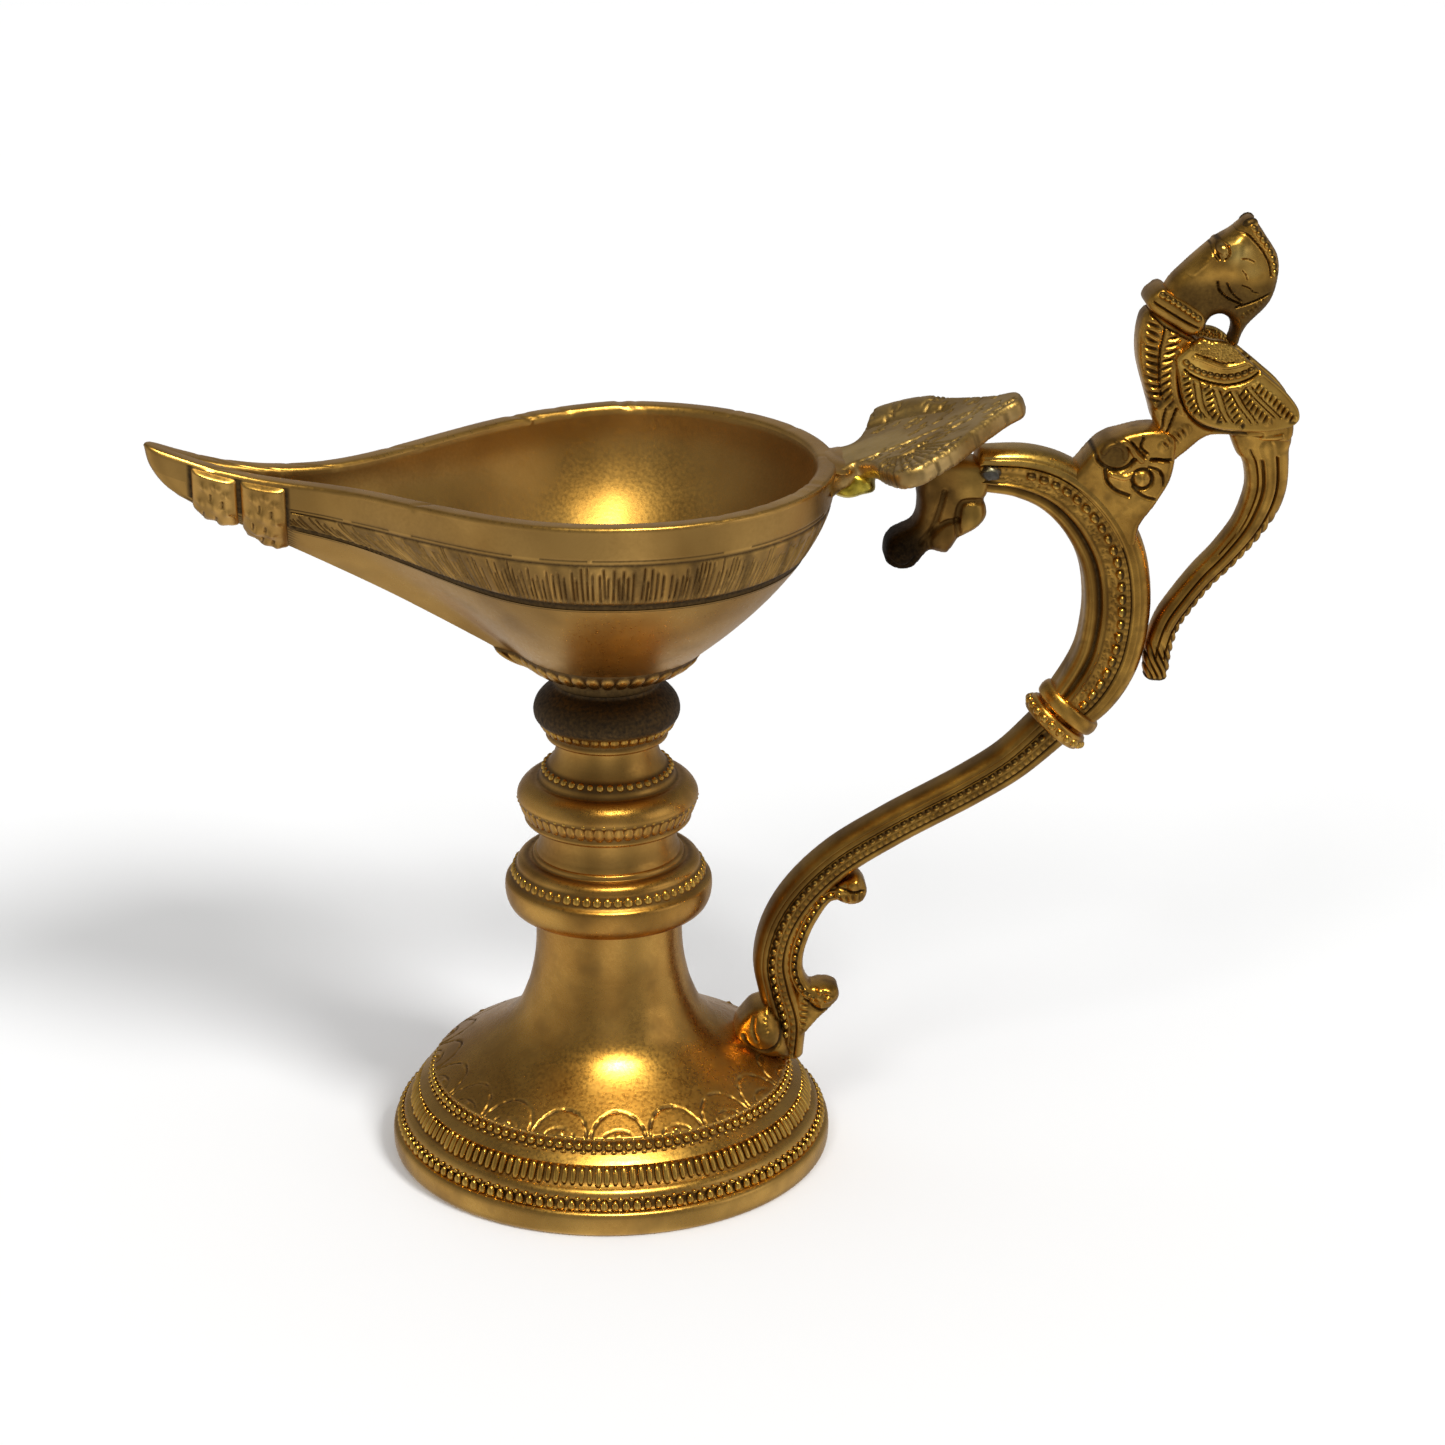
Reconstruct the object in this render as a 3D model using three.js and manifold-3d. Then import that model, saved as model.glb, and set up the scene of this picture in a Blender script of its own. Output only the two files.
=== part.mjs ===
// Brass diya on a turned stem, with a leaf-shaped oil bowl and a bird-topped handle.
// Millimetres, +Z up, the spout towards -X and the handle towards +X, in the plane Y = 0.

import * as THREE from 'three';
import { mergeVertices } from 'three/addons/utils/BufferGeometryUtils.js';
import Module from 'manifold-3d';

const wasm = await Module();
wasm.setup();

// Clearances and overruns
const JOINT_GAP = 0.3;
const CUT_OVERRUN = 2;

// Foot: a hollow bell, open below
const FOOT_RADIUS = 32.2;
const FOOT_HEIGHT = 37.5;
const FOOT_WALL = 2.6;
const FOOT_RING_WIDTH = 3.4;
const FOOT_CEILING_DEPTH = 12.5;

// Stem knops, stacked on the foot
const LOWER_KNOP_RADIUS = 15;
const LOWER_KNOP_HEIGHT = 13.1;
const MIDDLE_KNOP_RADIUS = 13;
const MIDDLE_KNOP_HEIGHT = 13;
const UPPER_KNOP_RADIUS = 10.5;
const UPPER_KNOP_HEIGHT = 8.7;

// Tie rod that holds foot, knops and bowl together, with its washer and nut
const ROD_RADIUS = 2.5;
const ROD_THREAD_DEPTH = 4.4;
const ROD_TAIL = 1.6;
const WASHER_RADIUS = 5;
const WASHER_THICKNESS = 1;
const NUT_ACROSS_FLATS = 8;
const NUT_HEIGHT = 4;

// Bowl: round behind, drawn out to a spout in front
const BOWL_RADIUS = 30.2;
const BOWL_OFFSET = 2.4;
const BOWL_DEPTH = 32.4;
const SPOUT_REACH = 63.6;
const SPOUT_RISE = 4.3;
const BOWL_WALL = 2.9;
const BOWL_FLOOR = 2.7;
const BOSS_RADIUS = 7.8;
const BOSS_HEIGHT = 1.6;
const WRAP_RAISE = 0.5;
const WRAP_WIDTH = 6;
const WRAP_SPACING = 7;
const WRAP_SETBACK = 6.4;

// Leaf plate that the thumb rests on, brazed to the rim
const LEAF_LENGTH = 29;
const LEAF_WIDTH = 31.5;
const LEAF_THICKNESS = 2.9;
const LEAF_SINK = 0.8;
const LEAF_TILT_DEGREES = 19;
const BRAZE_LENGTH = 7.5;
const BRAZE_HEIGHT = 3.8;
const BRAZE_WIDTH = 10;

// Arch of the handle, from under the leaf plate down to the collar
const ARCH_REACH = 41;
const ARCH_DROP = 40;
const ARCH_WIDTH = 9.8;
const ARCH_DEPTH = 7.2;
const PENDANT_REACH = 22.3;
const PENDANT_DROP = 16.6;
const PENDANT_DEPTH = 6.4;
const SOLDER_RADIUS = 2.6;

// Collar between the arch and the bar
const COLLAR_RADIUS = 5.1;
const COLLAR_RING_HEIGHT = 2.5;

// Bar of the handle, from the collar down to the foot, with its scroll and bract
const BAR_WIDTH = 5.7;
const BAR_DEPTH = 6;
const SCROLL_WIDTH = 2.7;
const SCROLL_ROOT_WIDTH = 3.6;
const SCROLL_DEPTH = 5;
const SCROLL_KNOB_RADIUS = 2.4;
const BRACT_DEPTH = 9;
const RIVET_RADIUS = 1.1;
const RIVET_REACH = 2.4;
const RIVET_HEAD_RADIUS = 2.3;
const RIVET_HEAD_HEIGHT = 1.1;

// Perch on the arch and the bird that stands on it
const PERCH_LENGTH = 15.2;
const PERCH_HEIGHT = 18;
const PERCH_DEPTH = 6.8;
const BIRD_LENGTH = 23.5;
const BIRD_HEIGHT = 29.6;
const BIRD_DEPTH = 5.4;
const NECK_BAND_WIDTH = 2.3;
const NECK_BAND_RAISE = 0.8;
const WING_THICKNESS = 1.5;
const TAIL_WIDTH = 5.8;
const TAIL_DEPTH = 5;

// Smoothness, in counts
const FOOT_FACETS = 48;
const KNOP_FACETS = 32;
const ROD_FACETS = 20;
const RIM_STEPS = 26;
const SECTION_SIDES = 12;
const STRAP_STEPS = 18;
const BAR_STEPS = 22;
const ROOT_STEPS = 3;
const OUTLINE_DIVISIONS = 3;
const RIM_BACK_STEPS = 8;
const NUT_SIDES = 6;
const WRAP_COUNT = 2;

// How square a strap's section is: 1 is an ellipse, 0 a rectangle
const SECTION_ROUNDNESS = 0.7;
const LEAF_ROUNDNESS = 0.4;

// Corners closer than this share of the joint gap are one corner
const WELD_SHARE = 0.001;

// Turned outlines: radius as a share of the piece's radius, height of its height
const FOOT_SHARES = [
  [0.975, 0], [1, 0.02], [1, 0.1], [0.97, 0.125], [0.95, 0.15], [0.935, 0.175], [0.91, 0.2],
  [0.875, 0.24], [0.86, 0.26], [0.835, 0.29], [0.81, 0.325], [0.72, 0.375], [0.64, 0.415],
  [0.535, 0.47], [0.44, 0.54], [0.385, 0.63], [0.35, 0.73], [0.33, 0.84], [0.33, 1],
];
const FOOT_INSIDE_SHARES = [
  [0.935, 0.13], [0.86, 0.25], [0.8, 0.32], [0.64, 0.415], [0.535, 0.47], [0.44, 0.54], [0.385, 0.63],
];
const LOWER_KNOP_SHARES = [
  [0.78, 0], [0.92, 0.05], [0.98, 0.15], [1, 0.28], [0.99, 0.38], [0.93, 0.48], [0.84, 0.55],
  [0.75, 0.61], [0.7, 0.7], [0.66, 0.8], [0.65, 1],
];
const MIDDLE_KNOP_SHARES = [
  [0.76, 0], [0.9, 0.07], [0.98, 0.19], [1, 0.33], [0.96, 0.44], [0.86, 0.54], [0.76, 0.59],
  [0.7, 0.65], [0.6, 0.78], [0.56, 0.89], [0.55, 1],
];
const UPPER_KNOP_SHARES = [
  [0.69, 0], [0.82, 0.1], [0.92, 0.28], [1, 0.47], [0.98, 0.64], [0.86, 0.83], [0.75, 0.93], [0.72, 1],
];

// Bowl in plan: half width as a share of its radius, along the run from its middle to the spout's tip
const RIM_PLAN_SHARES = [
  [0, 1], [0.1, 0.965], [0.19, 0.895], [0.28, 0.785], [0.37, 0.64], [0.46, 0.48], [0.55, 0.325],
  [0.64, 0.215], [0.73, 0.155], [0.83, 0.108], [0.93, 0.07], [0.98, 0.04], [1, 0],
];
// Rim's rise above its level as a share of the spout's rise, along the same run
const RIM_RISE_SHARES = [
  [0, 0], [0.25, -0.14], [0.5, -0.23], [0.63, -0.22], [0.73, -0.12], [0.83, 0.14], [0.92, 0.55],
  [1, 1],
];
// Reach from the boss to the rim as a share, at shares of the height: behind, and along the keel
const BACK_BULGE_SHARES = [
  [0, 0], [0.07, 0.16], [0.18, 0.34], [0.3, 0.51], [0.45, 0.69], [0.62, 0.85], [0.8, 0.96], [1, 1],
];
const KEEL_BULGE_SHARES = [
  [0, 0], [0.06, 0.09], [0.14, 0.175], [0.24, 0.28], [0.36, 0.41], [0.5, 0.575], [0.65, 0.76],
  [0.8, 0.935], [0.9, 0.985], [1, 1],
];
const CAVITY_BULGE_SHARES = [
  [0, 0], [0.04, 0.17], [0.09, 0.3], [0.22, 0.485], [0.4, 0.68], [0.59, 0.845], [0.79, 0.955], [1, 1],
];
const BOWL_LEVEL_SHARES = [0, 0.06, 0.14, 0.24, 0.36, 0.5, 0.65, 0.8, 0.9, 1];
// Part of the run over which the round back turns into the keel
const KEEL_START_SHARE = 0.1;
const KEEL_FULL_SHARE = 0.75;
const CAVITY_FLOOR_SHARE = 0.24;

// Leaf plate: half width as a share, from the rim to the tip
const LEAF_WIDTH_SHARES = [
  [0, 0.5], [0.08, 0.38], [0.15, 0.3], [0.2, 0.38], [0.27, 0.66], [0.34, 0.94], [0.42, 1], [0.5, 0.92],
  [0.6, 0.76], [0.75, 0.52], [0.9, 0.28], [1, 0.1],
];

// Arch: places as shares of its reach and drop from the rim, then its width along the way
const ARCH_SPINE_SHARES = [
  [0.49, 0.045], [0.64, 0.06], [0.756, 0.107], [0.865, 0.207], [0.953, 0.362], [0.986, 0.54],
  [0.977, 0.715], [0.908, 0.86], [0.803, 0.985],
];
const ARCH_WIDTH_SHARES = [
  [0, 0.6], [0.07, 0.66], [0.15, 0.75], [0.32, 0.88], [0.49, 0.96], [0.66, 0.97], [0.83, 0.95],
  [1, 0.74],
];
const PENDANT_SHARES = [
  [0.57, -0.078], [0.555, 0.5], [0.489, 0.669], [0.372, 0.759], [0.327, 0.892], [0.39, 0.982],
  [0.484, 0.958], [0.583, 0.837], [0.695, 0.819], [0.785, 0.705], [0.901, 0.584], [0.937, 0.452],
  [0.96, 0.253], [0.951, -0.229],
];
const SOLDER_SHARES = [0.52, 0.045];
const SOLDER_DEPTH_SHARE = 0.85;
const SOLDER_HEIGHT_SHARE = 0.75;

// Where the bar stands on the foot, as a share of the foot's radius
const BAR_FOOT_SHARE = 0.82;
// Bar and what is on it: places as shares of the way from the foot to the collar
const BAR_SPINE_SHARES = [
  [-0.03, 0], [-0.013, 0.125], [-0.046, 0.225], [-0.064, 0.304], [-0.038, 0.4], [0.033, 0.495],
  [0.169, 0.596], [0.373, 0.691], [0.668, 0.806], [0.816, 0.875], [1, 1],
];
const BAR_WIDTH_SHARES = [[0, 1], [0.8, 1], [1, 1.15]];
const SCROLL_SPINE_SHARES = [
  [0.228, 0.505], [0.136, 0.501], [0.074, 0.443], [0.038, 0.387], [0.015, 0.324], [0.018, 0.268],
  [0.056, 0.216], [0.128, 0.19],
];
const SCROLL_ROOT_SHARES = [[0.102, 0.175], [0.028, 0.108], [-0.005, 0.048]];
const BRACT_SHARES = [
  [-0.079, 0.148], [-0.133, 0.123], [-0.174, 0.093], [-0.194, 0.068], [-0.182, 0.035], [-0.11, -0.01],
  [-0.02, -0.02], [0, 0.08], [-0.02, 0.14],
];
const RIVET_PLACE_SHARE = 0.81;
const KNOB_DEPTH_SHARE = 0.55;
// Ring of the collar: shares of its radius and of its height
const COLLAR_SHARES = [[0, -0.5], [0.84, -0.5], [0.96, -0.36], [1, 0], [0.96, 0.36], [0.84, 0.5], [0, 0.5]];

// Perch, as shares of its own length and height from its lower left corner
const PERCH_SHARES = [
  [0.01, 0.56], [0.13, 0.72], [0.3, 0.88], [0.45, 0.93], [0.79, 0.98], [0.97, 0.92], [0.99, 0.75],
  [0.95, 0.56], [0.83, 0.38], [0.68, 0.19], [0.64, 0.03], [0.46, 0], [0.23, 0.33],
];
const PERCH_CORNER_SHARES = [0.79, 0.345];

// Bird, as shares of its length and height from the corner below its breast
const TORSO_SHARES = [
  [0.13, 0.02], [0.075, 0.17], [0.035, 0.33], [0.025, 0.46], [0.05, 0.57], [0.36, 0.42], [0.48, 0.37],
  [0.6, 0.34], [0.75, 0.22], [0.89, 0.09], [0.95, 0.01], [0.93, -0.08], [0.77, -0.08], [0.6, -0.05],
  [0.43, -0.05], [0.29, -0.14], [0.2, -0.2], [0.13, -0.16],
];
const HEAD_SHARES = [
  [0.07, 0.59], [0.22, 0.725], [0.42, 0.865], [0.55, 0.925], [0.64, 0.985], [0.725, 0.915],
  [0.785, 0.79], [0.795, 0.69], [0.735, 0.585], [0.65, 0.52], [0.59, 0.45], [0.55, 0.39],
  [0.575, 0.47], [0.55, 0.56], [0.46, 0.585], [0.375, 0.51],
];
const WING_SHARES = [
  [0.32, 0.4], [0.46, 0.41], [0.6, 0.355], [0.83, 0.19], [0.98, 0.05], [0.97, -0.01], [0.83, -0.01],
  [0.58, 0], [0.4, 0.04], [0.3, 0.16], [0.26, 0.3],
];
const NECK_BAND_SHARES = [[0.05, 0.58], [0.37, 0.437]];
const BIRD_STAND_SHARES = [0.62, 0.98];

// Tail: shares of the way from the arch's side to the bird's rump
const TAIL_SPINE_SHARES = [
  [0.9, 1], [0.97, 0.811], [0.965, 0.667], [0.855, 0.494], [0.636, 0.322], [0.445, 0.197],
  [0.28, 0.072], [0.153, -0.05], [0.076, -0.2], [0.057, -0.347],
];
const TAIL_WIDTH_SHARES = [
  [0, 1.6], [0.06, 1.4], [0.12, 1.1], [0.28, 0.95], [0.42, 0.75], [0.6, 0.66], [0.8, 0.66], [0.9, 0.6],
  [1, 0.25],
];
const TAIL_SIDE_SHARE = 0.66;
const RUMP_SHARES = [0.83, -0.03];

// Numbers along a table of [place, value] rows, straight between them
function along(rows, place) {
  let i = 1;
  while (i < rows.length - 1 && rows[i][0] < place) i += 1;
  const [a, b] = [rows[i - 1], rows[i]];
  const t = THREE.MathUtils.clamp((place - a[0]) / (b[0] - a[0]), 0, 1);
  return THREE.MathUtils.lerp(a[1], b[1], t);
}

// Turned outline in real sizes, standing on a given level
function turned(shares, radius, height, base = 0) {
  return shares.map(([r, z]) => [r * radius, base + z * height]);
}

// Manifold solid of a closed geometry
function solidOf(geometry) {
  const bare = geometry.clone();
  bare.deleteAttribute('normal');
  bare.deleteAttribute('uv');
  const merged = mergeVertices(bare, WELD_SHARE * JOINT_GAP);
  return new wasm.Manifold(new wasm.Mesh({
    numProp: 3,
    vertProperties: new Float32Array(merged.attributes.position.array),
    triVerts: new Uint32Array(merged.index.array),
  }));
}

// Body turned about +Z from a closed outline of [radius, height] points
function latheGeometry(outline, facets) {
  const points = outline.map(([r, z]) => new THREE.Vector2(r, z));
  return new THREE.LatheGeometry(points, facets).rotateX(Math.PI / 2);
}

function lathe(outline, facets) {
  return solidOf(latheGeometry(outline, facets));
}

// Turned ring: an outside from bottom to top, round a straight bore
function turnedRing(outside, boreRadius, facets) {
  const bottom = [boreRadius, outside[0][1]];
  const top = [boreRadius, outside.at(-1)[1]];
  return lathe([bottom, ...outside, top, bottom], facets);
}

// Plain round bar from one level to another
function roundBar(radius, low, high, facets) {
  return lathe([[0, low], [radius, low], [radius, high], [0, high]], facets);
}

// Closed skin over equal rings of points: strips between opposite points close each end
function loft(rings) {
  const sides = rings[0].length;
  const positions = rings.flat().flatMap((p) => p.toArray());
  const indices = [];
  for (let i = 0; i < rings.length - 1; i += 1) {
    for (let j = 0; j < sides; j += 1) {
      const [a, b] = [i * sides + j, i * sides + (j + 1) % sides];
      indices.push(a, b, b + sides, a, b + sides, a + sides);
    }
  }
  const last = (rings.length - 1) * sides;
  for (let j = 0; j < sides / 2; j += 1) {
    const [a, b] = [j, j + 1];
    const [c, d] = [sides - j - 1, (sides - j) % sides];
    if (b !== c) indices.push(a, c, b, last + a, last + b, last + c);
    if (a !== d) indices.push(a, d, c, last + a, last + c, last + d);
  }
  const geometry = new THREE.BufferGeometry();
  geometry.setAttribute('position', new THREE.Float32BufferAttribute(positions, 3));
  geometry.setIndex(indices);
  return solidOf(geometry);
}

// Smooth curve through [x, z] places in the handle's plane
function spineOf(places) {
  const points = places.map(([x, z]) => new THREE.Vector3(x, 0, z));
  return new THREE.CatmullRomCurve3(points, false, 'centripetal');
}

// Place and directions at a share of a spine: its tangent, and its normal in the plane
function stationOf(spine, share) {
  const tangent = spine.getTangentAt(share);
  const normal = new THREE.Vector3(-tangent.z, 0, tangent.x);
  return { at: spine.getPointAt(share), tangent, normal };
}

// Bar along a spine: half sizes across it, in the plane and out of it, may change along the way
function strap({
  places, halfWidth, halfDepth, steps = STRAP_STEPS, roundness = SECTION_ROUNDNESS, grow = 0,
}) {
  const spine = spineOf(places);
  const squared = (value) => Math.sign(value) * Math.abs(value) ** roundness;
  const rings = [];
  for (let i = 0; i <= steps; i += 1) {
    const share = i / steps;
    const { at, tangent, normal } = stationOf(spine, share);
    if (i === 0) at.addScaledVector(tangent, -grow);
    if (i === steps) at.addScaledVector(tangent, grow);
    const wide = halfWidth(share) + grow;
    const deep = halfDepth(share) + grow;
    const ring = [];
    for (let j = 0; j < SECTION_SIDES; j += 1) {
      const turn = (j / SECTION_SIDES) * 2 * Math.PI;
      const point = at.clone().addScaledVector(normal, squared(Math.cos(turn)) * wide);
      point.y = -squared(Math.sin(turn)) * deep;
      ring.push(point);
    }
    rings.push(ring);
  }
  return loft(rings);
}

// Slab with a smooth outline of [x, z] places, as deep as given along Y, its skin moved out
function slab({ outline, depth, middle = 0, grow = 0 }) {
  const curve = new THREE.CatmullRomCurve3(
    outline.map(([x, z]) => new THREE.Vector3(x, z, 0)), true, 'centripetal',
  );
  const shape = new THREE.Shape(curve.getPoints(outline.length * OUTLINE_DIVISIONS).slice(0, -1));
  const geometry = new THREE.ExtrudeGeometry(shape, {
    depth,
    bevelEnabled: grow > 0,
    bevelThickness: grow,
    bevelSize: grow,
    bevelSegments: 1,
  });
  return solidOf(geometry.translate(0, 0, -depth / 2).rotateX(Math.PI / 2).translate(0, middle, 0));
}

// Rounded lump with a half size along each axis
function lump(centre, sizes, grow = 0) {
  const geometry = new THREE.SphereGeometry(1, SECTION_SIDES, SECTION_SIDES / 2);
  geometry.scale(sizes[0] + grow, sizes[1] + grow, sizes[2] + grow);
  return solidOf(geometry.translate(centre[0], centre[1], centre[2]));
}

// Places in the plane from shares of a width and a height at a corner
function placed(shares, [x, z], [width, height]) {
  return shares.map(([s, t]) => [x + s * width, z + t * height]);
}

// Levels of the turned stack
const lowerKnopBase = FOOT_HEIGHT;
const middleKnopBase = lowerKnopBase + LOWER_KNOP_HEIGHT;
const upperKnopBase = middleKnopBase + MIDDLE_KNOP_HEIGHT;
const bowlBase = upperKnopBase + UPPER_KNOP_HEIGHT;
const rimLevel = bowlBase + BOWL_DEPTH;
const footCeiling = FOOT_HEIGHT - FOOT_CEILING_DEPTH;
const boreRadius = ROD_RADIUS + JOINT_GAP;
const footOutside = turned(FOOT_SHARES, FOOT_RADIUS, FOOT_HEIGHT);

// Level of the foot's outside at a radius
function footLevel(radius) {
  return along(footOutside.slice(1).map(([r, z]) => [-r, z]), -radius);
}

// Radius of the foot's outside at a level
function footRadius(level) {
  return along(footOutside.map(([r, z]) => [z, r]), level);
}

// Direction square to the foot's outside at a radius, away from the metal
function footNormal(radius) {
  const step = FOOT_WALL / 2;
  const rise = footLevel(radius - step) - footLevel(radius + step);
  return new THREE.Vector3(rise, 0, 2 * step).normalize();
}

// Inside of the foot's wall: its outside moved in square to itself, up to the flat ceiling
function footInside() {
  const rough = turned(FOOT_INSIDE_SHARES, FOOT_RADIUS, FOOT_HEIGHT);
  const wall = rough.slice(0, -1).map(([r, z], i) => {
    const slope = new THREE.Vector2(rough[i + 1][0] - r, rough[i + 1][1] - z).normalize();
    return [r - slope.y * FOOT_WALL, z + slope.x * FOOT_WALL];
  });
  const below = wall.filter(([, z]) => z > 0 && z < footCeiling - FOOT_WALL);
  const throat = footRadius(footCeiling) - FOOT_WALL;
  return [[FOOT_RADIUS - FOOT_RING_WIDTH, 0], ...below, [throat, footCeiling]];
}

// Foot: hollow bell, bored for the tie rod and drilled for the bract's rivet
function footBell() {
  const inside = footInside().reverse();
  const bell = lathe([
    [boreRadius, footCeiling], ...inside, ...footOutside,
    [boreRadius, FOOT_HEIGHT], [boreRadius, footCeiling],
  ], FOOT_FACETS);
  return bell.subtract(bractRivet(JOINT_GAP));
}

// Stem knops, each bored for the tie rod
function knop(shares, radius, height, base) {
  return turnedRing(turned(shares, radius, height, base), boreRadius, KNOP_FACETS);
}

function lowerKnop() {
  return knop(LOWER_KNOP_SHARES, LOWER_KNOP_RADIUS, LOWER_KNOP_HEIGHT, lowerKnopBase);
}

function middleKnop() {
  return knop(MIDDLE_KNOP_SHARES, MIDDLE_KNOP_RADIUS, MIDDLE_KNOP_HEIGHT, middleKnopBase);
}

function upperKnop() {
  return knop(UPPER_KNOP_SHARES, UPPER_KNOP_RADIUS, UPPER_KNOP_HEIGHT, upperKnopBase);
}

// Tie rod, from below its nut up into the bowl's boss
const washerBase = footCeiling - WASHER_THICKNESS;
const nutBase = washerBase - NUT_HEIGHT;

function tieRod() {
  return roundBar(ROD_RADIUS, nutBase - ROD_TAIL, bowlBase + ROD_THREAD_DEPTH - JOINT_GAP, ROD_FACETS);
}

function tieWasher() {
  return turnedRing([[WASHER_RADIUS, washerBase], [WASHER_RADIUS, footCeiling]], boreRadius, ROD_FACETS);
}

// Six-sided nut
function tieNut() {
  const corner = NUT_ACROSS_FLATS / 2 / Math.cos(Math.PI / NUT_SIDES);
  const body = roundBar(corner, nutBase, washerBase, NUT_SIDES);
  return body.subtract(roundBar(boreRadius, nutBase - CUT_OVERRUN, washerBase + CUT_OVERRUN, ROD_FACETS));
}

// Half of the rim in plan, from behind round one side to the spout's tip
function rimHalf() {
  const places = [];
  for (let i = 0; i < RIM_BACK_STEPS; i += 1) {
    const turn = (i / RIM_BACK_STEPS) * Math.PI / 2;
    places.push([BOWL_OFFSET + BOWL_RADIUS * Math.cos(turn), BOWL_RADIUS * Math.sin(turn)]);
  }
  const run = BOWL_OFFSET + SPOUT_REACH;
  for (const [s, w] of RIM_PLAN_SHARES) places.push([BOWL_OFFSET - s * run, w * BOWL_RADIUS]);
  const points = places.map(([x, y]) => new THREE.Vector3(x, y, 0));
  return new THREE.CatmullRomCurve3(points, false, 'centripetal');
}

// Rim in plan moved out by a distance (in where negative): evenly spaced points all round
function rimPlan(moved) {
  const curve = rimHalf();
  const side = [];
  for (let i = 0; i <= RIM_STEPS; i += 1) {
    const share = i / RIM_STEPS;
    const tangent = curve.getTangentAt(share);
    const out = new THREE.Vector3(tangent.y, -tangent.x, 0);
    if (i === 0) out.set(1, 0, 0);
    if (i === RIM_STEPS) out.set(-1, 0, 0);
    side.push(curve.getPointAt(share).addScaledVector(out, moved));
  }
  const crossing = side.findIndex((p, i) => i > 0 && (p.y <= 0 || i === RIM_STEPS));
  const [before, after] = [side[crossing - 1], side[crossing]];
  const tip = before.clone().lerp(after, before.y / (before.y - after.y));
  const open = new THREE.CatmullRomCurve3([...side.slice(0, crossing), tip], false, 'centripetal');
  const half = open.getSpacedPoints(RIM_STEPS);
  const mirrored = half.slice(1, -1).reverse().map((p) => new THREE.Vector3(p.x, -p.y, 0));
  return [...half, ...mirrored];
}

// Share of the run from the bowl's middle to the spout's tip, nought behind the middle
function spoutShare(x) {
  return Math.max(0, (BOWL_OFFSET - x) / (BOWL_OFFSET + SPOUT_REACH));
}

// Ring of the bowl's skin: how far out of a core radius, and how far up from a low level to the rim
function bowlRing(plan, { core, low, lift, level, back, keel }) {
  return plan.map((p) => {
    const share = spoutShare(p.x);
    const turn = THREE.MathUtils.smoothstep(share, KEEL_START_SHARE, KEEL_FULL_SHARE);
    const reach = THREE.MathUtils.lerp(along(back, level), along(keel, level), turn);
    const radius = Math.hypot(p.x, p.y);
    const scale = (core + (radius - core) * reach) / radius;
    const rim = rimLevel + SPOUT_RISE * along(RIM_RISE_SHARES, share) + lift;
    return new THREE.Vector3(p.x * scale, p.y * scale, low + (rim - low) * level);
  });
}

// Outside of the bowl as a solid, its skin moved out and its rim lifted
function bowlForm(grow = 0, lift = grow) {
  const plan = rimPlan(grow);
  const ring = {
    core: BOSS_RADIUS + grow,
    low: bowlBase + BOSS_HEIGHT - grow,
    lift,
    back: BACK_BULGE_SHARES,
    keel: KEEL_BULGE_SHARES,
  };
  const rings = BOWL_LEVEL_SHARES.map((level) => bowlRing(plan, { ...ring, level }));
  const foot = rings[0].map((p) => new THREE.Vector3(p.x, p.y, bowlBase - grow));
  return loft([foot, ...rings]);
}

// Hollow of the bowl, run on above the rim
function bowlCavity() {
  const plan = rimPlan(-BOWL_WALL);
  const ring = {
    core: CAVITY_FLOOR_SHARE * BOWL_RADIUS,
    low: bowlBase + ROD_THREAD_DEPTH + BOWL_FLOOR,
    lift: 0,
    back: CAVITY_BULGE_SHARES,
    keel: KEEL_BULGE_SHARES,
  };
  const rings = BOWL_LEVEL_SHARES.map((level) => bowlRing(plan, { ...ring, level }));
  const mouth = rings.at(-1).map((p) => new THREE.Vector3(p.x, p.y, p.z + CUT_OVERRUN));
  return loft([...rings, mouth]);
}

// Raised wraps that go round under the spout
function spoutWrap(number) {
  const middle = WRAP_SETBACK + WRAP_WIDTH / 2 + number * WRAP_SPACING - SPOUT_REACH;
  const slice = new THREE.BoxGeometry(WRAP_WIDTH, BOWL_RADIUS * 2, BOWL_DEPTH * 2);
  return bowlForm(WRAP_RAISE, -WRAP_RAISE).intersect(solidOf(slice.translate(middle, 0, rimLevel)));
}

function bowl() {
  let body = bowlForm();
  for (let i = 0; i < WRAP_COUNT; i += 1) body = body.add(spoutWrap(i));
  const bore = roundBar(boreRadius, bowlBase - CUT_OVERRUN, bowlBase + ROD_THREAD_DEPTH, ROD_FACETS);
  return body.subtract(bowlCavity()).subtract(bore);
}

// Anchors of the handle: the rim's rear edge, and places measured from it
const rimRear = BOWL_OFFSET + BOWL_RADIUS;

function fromRim(shares, reach, drop) {
  return placed(shares, [rimRear, rimLevel], [reach, -drop]);
}

// Leaf plate, tilted up from the rim
function leafForm(grow = 0) {
  const tilt = THREE.MathUtils.degToRad(LEAF_TILT_DEGREES);
  const start = [rimRear - BOWL_WALL / 2, rimLevel - LEAF_SINK - LEAF_THICKNESS / 2];
  const end = [start[0] + LEAF_LENGTH * Math.cos(tilt), start[1] + LEAF_LENGTH * Math.sin(tilt)];
  return strap({
    places: [start, end],
    halfWidth: () => LEAF_THICKNESS / 2,
    halfDepth: (share) => along(LEAF_WIDTH_SHARES, share) * LEAF_WIDTH / 2,
    roundness: LEAF_ROUNDNESS,
    grow,
  });
}

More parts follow.
